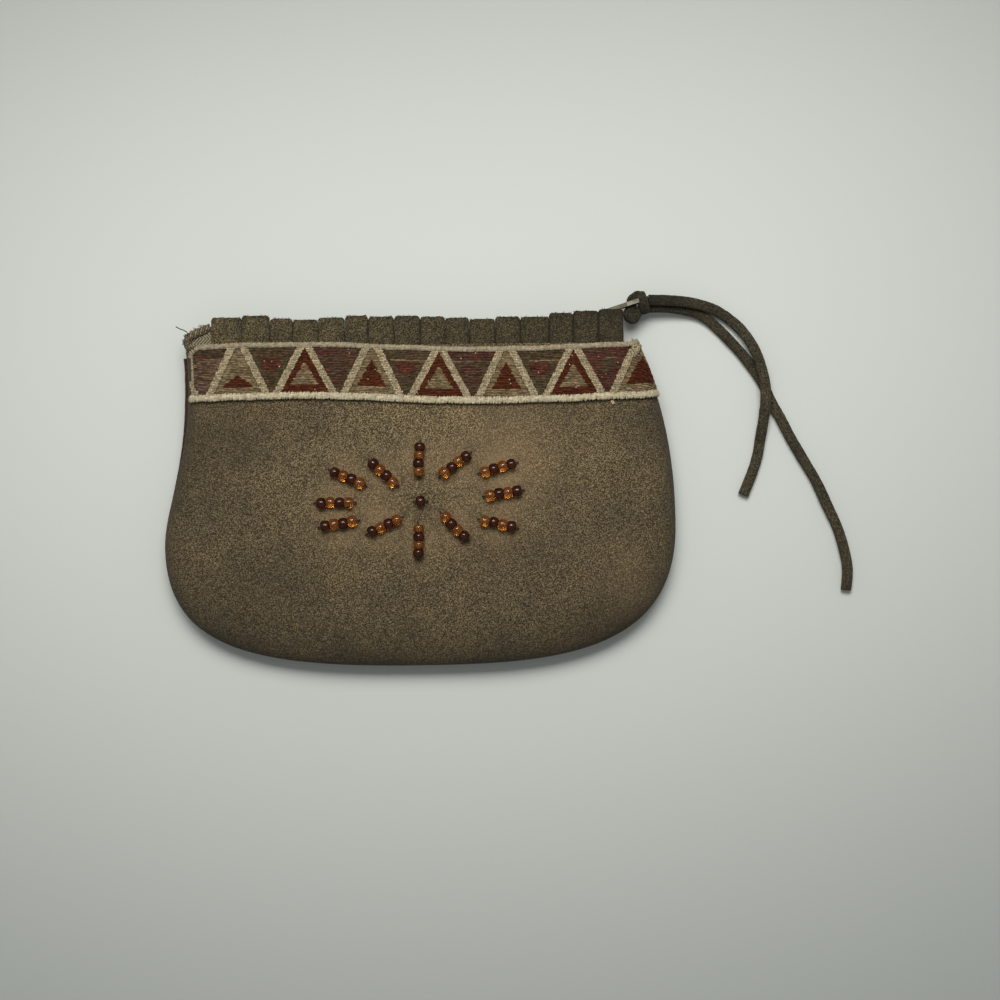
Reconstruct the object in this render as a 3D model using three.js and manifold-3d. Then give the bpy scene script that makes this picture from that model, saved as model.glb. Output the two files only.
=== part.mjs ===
// Small suede coin purse: two panels sewn round a pocket, a zipped mouth behind a cut fringe,
// a woven trim, a starburst of seed beads, and a suede thong knotted to the zipper's pull.
// Millimetres. The purse lies on its back: +X runs along the zipper to its closed end,
// +Y runs from the rounded bottom to the mouth, and +Z comes out of the front.

import * as THREE from 'three';
import { mergeVertices } from 'three/addons/utils/BufferGeometryUtils.js';
import Module from 'manifold-3d';

const wasm = await Module();
wasm.setup();

// Panels: the outline is a round-bottomed U that is closed along the top edge.
const halfWidth = 65.1; // from the middle to the fullest point of either side
const bottomY = -44.7;
const topEdgeY = 36.8; // top edge of both panels at the side seams
const topHalfLeft = 59.2; // from the middle to the left top corner
const topHalfRight = 55.4;
const fullestLeftY = -13.9;
const fullestRightY = -9.7;
const lowestX = -2.5;
const leftLean = 2.7; // the left side first runs in by this much
const leftFall = 26; // lengths of the outline's curves along their end tangents
const leftSwell = 12;
const leftRound = 26;
const leftBottom = 40;
const rightBottom = 34;
const rightRound = 34;
const rightSwell = 10;
const rightLean = 9;
const rightFall = 18;
const suedeThickness = 1.2;
const seamZ = 4.5; // height of the side seam above the table
const crownRise = 1.9; // how far the stuffed middle stands above the mouth
const edgeRollTop = 2.8; // reach of the rounded edge at the mouth
const edgeRollBottom = 13;
const seamAllowance = 4; // turned-in edge of each panel
const clearance = 0.3; // between neighbouring pieces
const backMarginRise = 0.8; // the back's plain margin over the middle of the zipper chain
const marginLap = 5; // how far layers at the mouth reach down behind the top edge

// Zipper
const sliderHalfWidth = 2.6;
const sliderLength = 8.4;
const sliderPlate = 0.8;
const sliderInset = 11; // from the fringe's right end to the middle of the closed slider
const chainY = 40;
const toothPitch = 2.4;
const toothHeight = 2;
const toothReach = 0.7; // how far a tooth's head passes the middle of the chain
const toothRoot = 1.7; // how far back the root reaches from the middle
const toothHeadWidth = 0.72;
const toothRootWidth = 1.1;
const tapeThickness = 0.5;
const tapeEdge = 1; // from the middle of the chain to the woven edge of a tape
const tapeDrop = 9; // sewn part of a tape below the chain
const tapeTailReach = 7.2; // folded tape end at the left corner
const tapeTailLift = 0.8; // its tip over the top edge
const tapeTailRise = 1.2; // its root over the middle of the chain
const stopLength = 2.2;
const bailGap = 1.5;
const bailBar = 0.8;
const bailLength = 6;
const bailWidth = 1.6;
const diamondLength = 2.8;
const diamondWidth = 1.2;

// Pull tab
const pullLength = 16.4; // from its pivot to its end
const pullThickness = 1.1;
const pullTilt = THREE.MathUtils.degToRad(17.3); // above +X with the zipper closed
const pullArm = 0.95;
const pullBarRadius = 0.45;
const pullEndBar = 1.2;
const eyeSlack = 0.5; // round the thong in the pull's eye

// Fringe
const cornerGap = 6.9; // from the left top corner to the first tab
const tabCount = 16;
const tabSlit = 0.35;
const tabCorner = 1.3;
const fringeThickness = 1.1;

// Woven trim
const trimWidth = 13.9;
const trimThickness = 0.8;
const trimCord = 0.5; // height of the corded borders over the ground
const trimCordWidth = 1.5;
const trimEndInset = 0.6;
const motifPitch = 17;
const motifCount = 7;
const motifFirstX = -45.2;
const motifLeg = 1.5; // width of a triangle's woven outline
const motifRelief = 0.35;
const motifHeart = 5.3; // height of the small triangle inside each large one

// Seed beads
const beadDiameter = 2.7;
const beadPitch = 2.1;
const beadsInRow = 4;
const threadRadius = 0.3;
const threadEnd = 0.9;

// Thong
const laceWidth = 2.6;
const laceThickness = 1.6;
const knotReach = 5.8; // from the pull's eye to where the tails leave the knot
const knotDrop = 0.4; // the tails leave a little below the eye
const tailSpread = 1.8; // between the tails there

// Layers at the mouth, counted out from the middle of the chain
const tapeFace = sliderHalfWidth + clearance;
const chainZ = suedeThickness + clearance + tapeThickness + tapeFace;
const fringeZ = chainZ + tapeFace + tapeThickness + clearance;
const mouthZ = fringeZ + fringeThickness + clearance + suedeThickness;
const fringeLeft = -topHalfLeft + cornerGap;
const fringeRight = topHalfRight - edgeRollTop - clearance;
const sliderX = fringeRight - sliderInset; // middle of the slider with the zipper closed
const plateFace = toothHeight / 2 + clearance;
const plateTopY = chainY + plateFace + sliderPlate;
const bailTopY = plateTopY + bailGap + bailBar;
const trimTopY = topEdgeY;
const trimBottomY = topEdgeY - trimWidth;

const finishes = {
  suede: { color: 0x6c5c43, roughness: 0.95, metalness: 0 },
  darkSuede: { color: 0x473f2e, roughness: 0.95, metalness: 0 },
  lace: { color: 0x39392e, roughness: 0.95, metalness: 0 },
  woven: { color: 0x8c7a5e, roughness: 0.9, metalness: 0 },
  tape: { color: 0x857a6c, roughness: 0.9, metalness: 0 },
  metal: { color: 0x8d8778, roughness: 0.4, metalness: 1 },
  bead: { color: 0x8a4a12, roughness: 0.12, metalness: 0 },
  darkBead: { color: 0x22150f, roughness: 0.12, metalness: 0 },
};

const purse = new THREE.Group();

function addPiece(name, geometry, finish, parent = purse) {
  const piece = new THREE.Mesh(geometry, new THREE.MeshStandardMaterial(finishes[finish]));
  piece.name = name;
  parent.add(piece);
  return piece;
}

// Joining and cutting

function welded(geometry) {
  const bare = geometry.clone();
  bare.deleteAttribute('normal');
  bare.deleteAttribute('uv');
  return mergeVertices(bare, 1e-4);
}

function solidOf(geometry) {
  const closed = welded(geometry);
  const triangles = closed.index.array;
  const kept = [];
  for (let i = 0; i < triangles.length; i += 3) {
    const [a, b, c] = triangles.slice(i, i + 3);
    if (a !== b && b !== c && a !== c) kept.push(a, b, c);
  }
  return new wasm.Manifold(new wasm.Mesh({
    numProp: 3,
    vertProperties: Float32Array.from(closed.attributes.position.array),
    triVerts: Uint32Array.from(kept),
  }));
}

function geometryOf(solid) {
  const mesh = solid.getMesh();
  const geometry = new THREE.BufferGeometry();
  geometry.setAttribute('position', new THREE.BufferAttribute(mesh.vertProperties, 3));
  geometry.setIndex(new THREE.BufferAttribute(mesh.triVerts, 1));
  geometry.computeVertexNormals();
  return geometry;
}

function joined(geometries) {
  return geometryOf(geometries.map(solidOf).reduce((whole, next) => whole.add(next)));
}

function block(x0, x1, y0, y1, z0, z1) {
  const box = new THREE.BoxGeometry(x1 - x0, y1 - y0, z1 - z0);
  return box.translate((x0 + x1) / 2, (y0 + y1) / 2, (z0 + z1) / 2);
}

function polygon(points) {
  return new THREE.Shape(points.map(([x, y]) => new THREE.Vector2(x, y)));
}

function extruded(shape, depth, curveSegments = 4) {
  return new THREE.ExtrudeGeometry(shape, { depth, bevelEnabled: false, curveSegments });
}

// A shape drawn along X and Z, given a height along Y and centred on y.
function upright(shape, y, height) {
  return extruded(shape, height).rotateX(Math.PI / 2).translate(0, y + height / 2, 0);
}

// Outline of the panels, from the left top corner round the bottom to the right top corner

const outline = new THREE.Path();
outline.moveTo(-topHalfLeft, topEdgeY);
outline.bezierCurveTo(
  -topHalfLeft + leftLean, topEdgeY - leftFall,
  -halfWidth, fullestLeftY + leftSwell,
  -halfWidth, fullestLeftY);
outline.bezierCurveTo(
  -halfWidth, fullestLeftY - leftRound,
  lowestX - leftBottom, bottomY,
  lowestX, bottomY);
outline.bezierCurveTo(
  lowestX + rightBottom, bottomY,
  halfWidth, fullestRightY - rightRound,
  halfWidth, fullestRightY);
outline.bezierCurveTo(
  halfWidth, fullestRightY + rightSwell,
  topHalfRight + rightLean, topEdgeY - rightFall,
  topHalfRight, topEdgeY);

const rimSteps = 44;
const rim = outline.getSpacedPoints(rimSteps);
const fineRim = outline.getSpacedPoints(4 * rimSteps);

// Height of the front panel's face over the table at any point inside the outline.
// Distances are taken from the middle of the top edge out to the rim.

function rimAlong(dx, dy) {
  for (let i = 0; i < fineRim.length - 1; i += 1) {
    const ax = fineRim[i].x;
    const ay = fineRim[i].y - topEdgeY;
    const bx = fineRim[i + 1].x - ax;
    const by = fineRim[i + 1].y - topEdgeY - ay;
    const turn = dx * by - dy * bx;
    const along = (ax * by - ay * bx) / turn;
    const share = (ax * dy - ay * dx) / turn;
    if (along > 0 && share >= -1e-9 && share <= 1 + 1e-9) return along * Math.hypot(dx, dy);
  }
  return halfWidth;
}

function depthBelowMouth(y) {
  return (topEdgeY - y) / (topEdgeY - bottomY);
}

function edgeRoll(rimY) {
  return THREE.MathUtils.lerp(edgeRollTop, edgeRollBottom, depthBelowMouth(rimY));
}

function stuffedHeight(y, share) {
  return mouthZ + 4 * crownRise * depthBelowMouth(y) * (1 - share);
}

function frontHeight(x, y) {
  const dy = Math.min(y, topEdgeY - 1e-3) - topEdgeY;
  const reach = Math.max(Math.hypot(x, dy), 1e-6);
  const rimReach = rimAlong(x, dy);
  const roll = edgeRoll(topEdgeY + (dy * rimReach) / reach);
  const inset = Math.max(rimReach - reach, 0);
  const round = Math.sqrt(1 - (1 - Math.min(inset / roll, 1)) ** 2);
  return seamZ + (stuffedHeight(topEdgeY + dy, Math.min(reach / rimReach, 1)) - seamZ) * round;
}

function frontNormal(x, y) {
  const step = 0.05;
  const slopeX = (frontHeight(x + step, y) - frontHeight(x - step, y)) / (2 * step);
  const slopeY = (frontHeight(x, y - step) - frontHeight(x, y - 3 * step)) / (2 * step);
  return new THREE.Vector3(-slopeX, -slopeY, 1).normalize();
}

function onFront(x, y, lift) {
  return new THREE.Vector3(x, y, frontHeight(x, y)).addScaledVector(frontNormal(x, y), lift);
}

// Panels: sections fan out from the middle of the top edge. Each runs along the outer face to the rim,
// round the turned-in seam allowance and back along the inner face.

const rollAngles = [90, 67.5, 45, 22.5, 0].map(THREE.MathUtils.degToRad);

function fannedShell(sectionAt, faceUp) {
  const sections = rim.map(sectionAt);
  const size = sections[0].length;
  const half = size / 2 - 2;
  const positions = sections.flat().flatMap((point) => point.toArray());
  const triangles = [];
  function face(a, b, c) {
    triangles.push(...(faceUp ? [a, b, c] : [a, c, b]));
  }
  for (let s = 0; s < rimSteps; s += 1) {
    for (let p = 0; p < size - 1; p += 1) {
      const here = s * size + p;
      const next = here + size;
      face(here, here + 1, next + 1);
      face(here, next + 1, next);
    }
  }
  for (const [start, turned] of [[0, true], [rimSteps * size, false]]) {
    for (let p = 0; p <= half; p += 1) {
      const [a, b, c, d] = [p, p + 1, size - 2 - p, size - 1 - p].map((i) => start + i);
      if (turned) {
        face(a, c, b);
        face(a, d, c);
      } else {
        face(a, b, c);
        face(a, c, d);
      }
    }
  }
  const geometry = new THREE.BufferGeometry();
  geometry.setAttribute('position', new THREE.Float32BufferAttribute(positions, 3));
  geometry.setIndex(triangles);
  return geometryOf(solidOf(geometry));
}

function fanSection(rimPoint, shares, outerHeight, innerHeight, lipZ, inward) {
  const reach = Math.hypot(rimPoint.x, rimPoint.y - topEdgeY);
  const roll = edgeRoll(rimPoint.y);
  function at(inset, z) {
    const share = (reach - inset) / reach;
    return new THREE.Vector3(rimPoint.x * share, topEdgeY + (rimPoint.y - topEdgeY) * share, z);
  }
  const rows = [
    ...shares.map((share) => ({ inset: reach - share * (reach - roll), round: 1 })),
    ...rollAngles.map((angle) => ({ inset: roll * (1 - Math.cos(angle)), round: Math.sin(angle) })),
  ];
  const outer = rows.map((row) => at(row.inset, outerHeight(row, at(row.inset, 0), reach)));
  const inner = rows.map((row) => {
    const squeezed = row.round === 1
      ? row.inset
      : suedeThickness + (row.inset * (roll - suedeThickness)) / roll;
    return at(squeezed, innerHeight(row, at(row.inset, 0), reach));
  });
  const lip = [at(seamAllowance, lipZ), at(seamAllowance, lipZ + inward)];
  return [...outer, ...lip, ...inner.reverse()];
}

const frontLipZ = seamZ + clearance / 2;
const backLipZ = seamZ - clearance / 2;

addPiece('front_panel', fannedShell((point) => fanSection(
  point, [0, 0.22, 0.42, 0.62, 0.82],
  (row, place, reach) => {
    const high = stuffedHeight(place.y, 1 - row.inset / reach);
    return frontLipZ + (high - frontLipZ) * row.round;
  },
  (row, place, reach) => {
    const high = stuffedHeight(place.y, 1 - row.inset / reach) - suedeThickness;
    const low = frontLipZ + suedeThickness;
    return low + (high - low) * row.round;
  },
  frontLipZ, suedeThickness), true), 'suede');

const backBowl = fannedShell((point) => fanSection(
  point, [0, 0.5],
  (row) => backLipZ * (1 - row.round),
  (row) => suedeThickness + (backLipZ - 2 * suedeThickness) * (1 - row.round),
  backLipZ, -suedeThickness), false);
const backMargin = block(
  fringeLeft, fringeRight, topEdgeY - marginLap, chainY + backMarginRise, 0, suedeThickness);
addPiece('back_panel', joined([backBowl, backMargin]), 'suede');

// Fringe: one strip behind the front panel's top edge, slit into tabs above it

function fringeShape() {
  const tabWidth = (fringeRight - fringeLeft) / tabCount;
  const tabTop = bailTopY; // the tabs just hide the slider
  const shape = new THREE.Shape();
  shape.moveTo(fringeLeft, topEdgeY - marginLap);
  shape.lineTo(fringeRight, topEdgeY - marginLap);
  for (let tab = tabCount - 1; tab >= 0; tab -= 1) {
    const right = fringeLeft + (tab + 1) * tabWidth - (tab < tabCount - 1 ? tabSlit / 2 : 0);
    const left = fringeLeft + tab * tabWidth + (tab > 0 ? tabSlit / 2 : 0);
    if (tab < tabCount - 1) shape.lineTo(right, trimTopY);
    shape.lineTo(right, tabTop - tabCorner);
    shape.quadraticCurveTo(right, tabTop, right - tabCorner, tabTop);
    shape.lineTo(left + tabCorner, tabTop);
    shape.quadraticCurveTo(left, tabTop, left, tabTop - tabCorner);
    if (tab > 0) shape.lineTo(left, trimTopY);
  }
  return shape;
}

addPiece('fringe_strip', extruded(fringeShape(), fringeThickness, 2).translate(0, 0, fringeZ), 'darkSuede');

// Woven trim: a corded band over the front panel with triangles raised in its weave

function trimEnds(y) {
  const place = Math.min(y, topEdgeY - 1e-3);
  const crossings = [];
  for (let i = 0; i < fineRim.length - 1; i += 1) {
    const [a, b] = [fineRim[i], fineRim[i + 1]];
    if ((a.y - place) * (b.y - place) <= 0 && a.y !== b.y) {
      crossings.push(THREE.MathUtils.lerp(a.x, b.x, (place - a.y) / (b.y - a.y)));
    }
  }
  return [Math.min(...crossings) + trimEndInset, Math.max(...crossings) - trimEndInset];
}

function trimBand() {
  const columns = 32;
  const ground = trimThickness;
  const cord = trimThickness + trimCord;
  const rows = [
    [0, ground],
    [0.3 * trimCordWidth, cord],
    [0.75 * trimCordWidth, cord],
    [trimCordWidth, ground],
    [trimWidth / 2, ground],
    [trimWidth - trimCordWidth, ground],
    [trimWidth - 0.75 * trimCordWidth, cord],
    [trimWidth - 0.3 * trimCordWidth, cord],
    [trimWidth, ground],
  ];
  const loop = [
    ...rows.map(([across, height]) => [across, clearance + height]),
    ...rows.map(([across]) => [across, clearance]).reverse(),
  ];
  const positions = [];
  for (let c = 0; c <= columns; c += 1) {
    const share = (1 - Math.cos((Math.PI * c) / columns)) / 2;
    for (const [across, lift] of loop) {
      const y = trimBottomY + across;
      const [left, right] = trimEnds(y);
      positions.push(...onFront(THREE.MathUtils.lerp(left, right, share), y, lift).toArray());
    }
  }
  const size = loop.length;
  const triangles = [];
  for (let c = 0; c < columns; c += 1) {
    for (let p = 0; p < size; p += 1) {
      const here = c * size + p;
      const beside = c * size + ((p + 1) % size);
      triangles.push(here, here + size, beside, beside, here + size, beside + size);
    }
  }
  for (let p = 0; p < rows.length - 1; p += 1) {
    const [a, b, c, d] = [p, p + 1, size - 2 - p, size - 1 - p];
    const end = columns * size;
    triangles.push(a, b, c, a, c, d, end + a, end + c, end + b, end + a, end + d, end + c);
  }
  const geometry = new THREE.BufferGeometry();
  geometry.setAttribute('position', new THREE.Float32BufferAttribute(positions, 3));
  geometry.setIndex(triangles);
  return geometry;
}

// A flat shape drawn on X and Y, laid on the front panel between two heights over its face.
function laidOnFront(shape, low, high) {
  const geometry = extruded(shape, high - low);
  const places = geometry.attributes.position;
  for (let i = 0; i < places.count; i += 1) {
    places.setXYZ(i, ...onFront(places.getX(i), places.getY(i), low + places.getZ(i)).toArray());
  }
  return geometry;
}

function trimMotifs() {
  const low = clearance + trimThickness / 2;
  const high = clearance + trimThickness + motifRelief;
  const baseY = trimBottomY + 0.8 * trimCordWidth;
  const apexY = trimTopY - 0.8 * trimCordWidth;
  const cutX = trimEnds(apexY)[1] - motifLeg; // the right seam cuts the last triangle
  const half = motifLeg / 2;
  const pieces = [];
  for (let m = 0; m < motifCount; m += 1) {
    const apexX = motifFirstX + m * motifPitch;
    for (const side of [-1, 1]) {
      const footX = apexX + side * (motifPitch / 2 - half);
      if (footX > cutX) continue;
      const share = apexX > cutX ? (cutX - footX) / (apexX - footX) : 1;
      const topX = THREE.MathUtils.lerp(footX, apexX, share);
      const topY = THREE.MathUtils.lerp(baseY, apexY, share);
      const leg = [[footX - half, baseY], [footX + half, baseY], [topX + half, topY], [topX - half, topY]];
      pieces.push(laidOnFront(polygon(leg), low, high));
    }
    if (apexX < cutX) {
      const reach = 2 * motifLeg;
      const heart = [[apexX - reach, baseY], [apexX + reach, baseY], [apexX, baseY + motifHeart]];
      pieces.push(laidOnFront(polygon(heart), low, high));
    }
  }
  return pieces;
}

addPiece('woven_trim', joined([trimBand(), ...trimMotifs()]), 'woven');

// Zipper chain: teeth clamped on the edges of two tapes that fold down behind the fringe and the back

const chainLeft = fringeLeft + 2 * stopLength;
const chainRight = sliderX;

function toothShape(side) {
  return polygon([
    [-toothRootWidth / 2, toothRoot * side],
    [-toothHeadWidth / 2, -0.55 * toothReach * side],
    [-0.5 * toothHeadWidth / 2, -toothReach * side],
    [0.5 * toothHeadWidth / 2, -toothReach * side],
    [toothHeadWidth / 2, -0.55 * toothReach * side],
    [toothRootWidth / 2, toothRoot * side],
  ]);
}

function tapeWithTeeth(side, offset) {
  const near = chainZ + side * tapeEdge;
  const faceZ = chainZ + side * tapeFace;
  const farZ = faceZ + side * tapeThickness;
  const fold = block(
    fringeLeft, fringeRight, chainY - tapeThickness / 2, chainY + tapeThickness / 2,
    Math.min(near, farZ), Math.max(near, farZ));
  const leaf = block(
    fringeLeft, fringeRight, chainY - tapeDrop, chainY + tapeThickness / 2,
    Math.min(faceZ, farZ), Math.max(faceZ, farZ));
  const pieces = [fold, leaf];
  if (side > 0) {
    const root = fringeLeft + stopLength;
    const inside = -topHalfLeft + edgeRollTop;
    const tail = polygon([
      [root, chainY + tapeTailRise],
      [fringeLeft - tapeTailReach, topEdgeY + tapeTailLift],
      [inside, topEdgeY + clearance],
      [inside, chainY - tapeDrop + tapeThickness],
      [root, chainY - tapeDrop + tapeThickness],
    ]);
    pieces.push(extruded(tail, tapeThickness).translate(0, 0, faceZ));
  }
  for (let x = chainLeft + offset; x <= chainRight; x += toothPitch) {
    pieces.push(upright(toothShape(side), chainY, toothHeight).translate(x, 0, chainZ));
  }
  return joined(pieces);
}

addPiece('zipper_tape_front', tapeWithTeeth(1, 0), 'tape');
addPiece('zipper_tape_back', tapeWithTeeth(-1, toothPitch / 2), 'tape');

// Stops: a clamp across both tapes at the left end, and a clip on each tape past the closed slider

const tapeSlot = tapeThickness / 2 + clearance;
const bottomStopX = chainLeft - toothRootWidth / 2 - clearance - stopLength;

function stopPlates(x, z0, z1) {
  return [1, -1].map((side) => block(
    x, x + stopLength,
    Math.min(side * tapeSlot, side * toothHeight / 2) + chainY,
    Math.max(side * tapeSlot, side * toothHeight / 2) + chainY,
    chainZ + z0, chainZ + z1));
}

function stopWeb(x, z0, z1) {
  return block(
    x, x + stopLength, chainY - toothHeight / 2, chainY + toothHeight / 2, chainZ + z0, chainZ + z1);
}

const webHalf = tapeEdge - clearance;
addPiece('zipper_bottom_stop', joined([
  ...stopPlates(bottomStopX, -toothRoot, toothRoot),
  stopWeb(bottomStopX, -webHalf, webHalf),
]), 'metal');

const topStopX = sliderX + sliderLength / 2 + clearance;
for (const [name, side] of [['front', 1], ['back', -1]]) {
  const [near, web, far] = [webHalf / 2, webHalf, toothRoot].map((reach) => side * reach);
  addPiece(`zipper_top_stop_${name}`, joined([
    ...stopPlates(topStopX, Math.min(near, far), Math.max(near, far)),
    stopWeb(topStopX, Math.min(near, web), Math.max(near, web)),
  ]), 'metal');
}

// Slider: two plates with lips round the chain, joined by the diamond, and a bail over the top plate

function sliderShape() {
  const nose = sliderLength / 2;
  const tailHalf = 0.8 * sliderHalfWidth;
  const corner = 0.3 * sliderLength;
  const shape = new THREE.Shape();
  shape.moveTo(-nose, -tailHalf);
  shape.lineTo(nose - corner, -sliderHalfWidth);
  shape.quadraticCurveTo(nose, -sliderHalfWidth, nose, 0);
  shape.quadraticCurveTo(nose, sliderHalfWidth, nose - corner, sliderHalfWidth);
  shape.lineTo(-nose, tailHalf);
  return shape;
}

function sliderLips() {
  const inner = toothRoot + clearance;
  const lipHeight = plateFace - tapeSlot + sliderPlate / 2;
  return [1, -1].flatMap((side) => [1, -1].map((across) => {
    const lip = polygon([
      [-0.2 * sliderLength, across * inner],
      [0.2 * sliderLength, across * inner],
      [0.2 * sliderLength, across * sliderHalfWidth],
      [-0.2 * sliderLength, across * 0.93 * sliderHalfWidth],
    ]);
    return upright(lip, chainY + side * (tapeSlot + lipHeight / 2), lipHeight);
  }));
}

function bailShape() {
  const outer = bailLength / 2;
  const inner = outer - bailBar;
  const shape = polygon([[-outer, plateTopY - sliderPlate / 2], [outer, plateTopY - sliderPlate / 2]]);
  shape.lineTo(outer, bailTopY - bailBar);
  shape.quadraticCurveTo(outer, bailTopY, outer - bailBar, bailTopY);
  shape.lineTo(-outer + bailBar, bailTopY);
  shape.quadraticCurveTo(-outer, bailTopY, -outer, bailTopY - bailBar);
  shape.holes.push(polygon([[-inner, plateTopY], [-inner, plateTopY + bailGap],
    [inner, plateTopY + bailGap], [inner, plateTopY]]));
  return shape;
}

const diamondStart = 0.16 * sliderLength;
const diamond = polygon([
  [diamondStart, 0],
  [diamondStart + diamondLength / 2, -diamondWidth / 2],
  [diamondStart + diamondLength, 0],
  [diamondStart + diamondLength / 2, diamondWidth / 2],
]);
const slider = joined([
  upright(sliderShape(), chainY + plateFace + sliderPlate / 2, sliderPlate),
  upright(sliderShape(), chainY - plateFace - sliderPlate / 2, sliderPlate),
  ...sliderLips(),
  upright(diamond, chainY, 2 * plateFace + sliderPlate),
  extruded(bailShape(), bailWidth).translate(0, 0, -bailWidth / 2),
]);
addPiece('zipper_slider', slider, 'metal').position.set(sliderX, 0, chainZ);

// Pull tab: a fork whose crossbar passes under the bail, and a slotted eye for the thong

const pivotY = plateTopY + bailGap / 2;
const eyeLength = laceThickness + 2 * eyeSlack;
const eyeHalf = laceWidth / 2 + clearance;
const forkHalf = bailWidth / 2 + clearance;
const pullHalf = forkHalf + pullArm;
const pullEndHalf = eyeHalf + pullEndBar;
const forkLength = bailLength / 2 + bailBar;

function pullShape() {
  const waist = 0.8 * pullHalf;
  const shape = new THREE.Shape();
  shape.moveTo(0, -pullHalf);
  shape.lineTo(forkLength, -pullHalf);
  shape.quadraticCurveTo(0.5 * pullLength, -waist, pullLength - eyeLength - pullEndBar, -pullEndHalf);
  shape.lineTo(pullLength - pullEndBar, -pullEndHalf);
  shape.quadraticCurveTo(pullLength, -pullEndHalf, pullLength, -pullEndHalf + pullEndBar);
  shape.lineTo(pullLength, pullEndHalf - pullEndBar);
  shape.quadraticCurveTo(pullLength, pullEndHalf, pullLength - pullEndBar, pullEndHalf);
  shape.lineTo(pullLength - eyeLength - pullEndBar, pullEndHalf);
  shape.quadraticCurveTo(0.5 * pullLength, waist, forkLength, pullHalf);
  shape.lineTo(0, pullHalf);
  shape.lineTo(0, forkHalf);
  shape.lineTo(forkLength, forkHalf);
  shape.lineTo(forkLength, -forkHalf);
  shape.lineTo(0, -forkHalf);
  const eyeStart = pullLength - pullEndBar - eyeLength;
  shape.holes.push(polygon([[eyeStart, -eyeHalf], [eyeStart, eyeHalf],
    [eyeStart + eyeLength, eyeHalf], [eyeStart + eyeLength, -eyeHalf]]));
  return shape;
}

function alongZ(radius, z0, z1) {
  const pin = new THREE.CylinderGeometry(radius, radius, z1 - z0, 10);
  return pin.rotateX(Math.PI / 2).translate(0, 0, (z0 + z1) / 2);
}

const pull = joined([
  upright(pullShape(), 0, pullThickness),
  alongZ(pullThickness / 2, forkHalf, pullHalf),
  alongZ(pullThickness / 2, -pullHalf, -forkHalf),
  alongZ(pullBarRadius, -forkHalf - pullArm / 2, forkHalf + pullArm / 2),
]);
const pullPiece = addPiece('zipper_pull', pull, 'metal');
pullPiece.position.set(sliderX, pivotY, chainZ);
pullPiece.rotation.z = pullTilt;

// Thong: one lace hitched through the eye, with two tails that fall to the table

function ovalSection(halfX, halfY) {
  const sides = 8;
  const points = [];
  for (let i = 0; i < sides; i += 1) {
    const angle = (2 * Math.PI * (i + 0.5)) / sides;
    points.push([halfX * Math.cos(angle), halfY * Math.sin(angle)]);
  }
  return polygon(points);
}

function laceAlong(points, section, steps) {
  const path = new THREE.CatmullRomCurve3(points.map((point) => new THREE.Vector3(...point)));
  return new THREE.ExtrudeGeometry(section, { steps, bevelEnabled: false, extrudePath: path });
}

function besideEye(along, across, lift) {
  const [turnX, turnY] = [Math.cos(pullTilt), Math.sin(pullTilt)];
  const fromPivot = pullLength - pullEndBar - eyeLength / 2 + along;
  return [
    sliderX + fromPivot * turnX - across * turnY,
    pivotY + fromPivot * turnY + across * turnX,
    chainZ + lift,
  ];
}

const tailLift = laceThickness / 2 + clearance / 2; // the two tails leave the knot one over the other
const overBar = pullThickness / 2 + clearance + laceThickness / 2;
const [eyeX, eyeY] = besideEye(0, 0, 0);
const knotX = eyeX + knotReach;
const knotY = eyeY - knotDrop;
const shortRoot = [knotX, knotY + tailSpread / 2, chainZ + tailLift];
const longRoot = [knotX, knotY - tailSpread / 2, chainZ - tailLift];
const hitch = laceAlong([
  shortRoot,
  [shortRoot[0] - laceThickness, shortRoot[1], shortRoot[2]],
  besideEye(2.4, overBar + 0.2, 0.4),
  besideEye(1, overBar, 0.1),
  besideEye(0, overBar / 2, 0),
  besideEye(0, -overBar / 2, 0),
  besideEye(-0.8, -overBar, 0),
  besideEye(-1.8, -overBar - 1.4, 0),
  besideEye(-1, -overBar - 2.5, -0.2),
  besideEye(1.4, -overBar - 1.9, -0.6),
  [longRoot[0] - laceThickness, longRoot[1], longRoot[2]],
  longRoot,
], ovalSection(laceWidth / 2, laceThickness / 2), 26);
const collarShape = ovalSection(laceWidth / 2 + tailLift, laceWidth + 0.2 * laceThickness);
const collar = extruded(collarShape, laceThickness)
  .rotateY(Math.PI / 2)
  .translate(knotX - laceThickness - clearance, knotY, chainZ);
addPiece('thong_knot', joined([hitch, collar]), 'lace');

// Routes of the tails: along and across the table from the knot, and height over the table
const laceOnTable = laceThickness / 2 + 0.1;
const shortTail = [
  [clearance, tailSpread / 2, chainZ + tailLift],
  [4.2, 0.6, 5.2], [9.2, 0.2, 4.1], [14.7, -1, 2.5], [19, -3.5, 1.5],
  [22.9, -7.2, 1.7], [25.6, -11.6, 2.7], [27.2, -16, 2.9], [28.2, -20.5, 2.9],
  [28.3, -24.9, 2.8], [27.8, -29.3, 2.2], [27, -34.2, 1.2], [26.1, -39.2, laceOnTable],
  [24.6, -43.6, laceOnTable], [22.4, -48.9, laceOnTable],
];
const longTail = [
  [clearance, -tailSpread / 2, chainZ - tailLift],
  [4.2, -1.2, 3.1], [9.2, -2.1, 1.9], [12.5, -3.1, 1.3], [15.7, -5.4, laceOnTable],
  [19.5, -9.3, laceOnTable], [23, -13.3, laceOnTable], [27.2, -19.2, laceOnTable],
  [29.8, -24.9, laceOnTable], [32.2, -29.3, laceOnTable], [34.7, -34.3, laceOnTable],
  [37.9, -39.9, laceOnTable], [41.1, -45.5, laceOnTable], [43.8, -51.5, laceOnTable],
  [46.5, -57.6, laceOnTable], [48.1, -63.2, laceOnTable], [48.9, -68.1, laceOnTable],
  [48.5, -73.6, laceOnTable],
];

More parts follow.
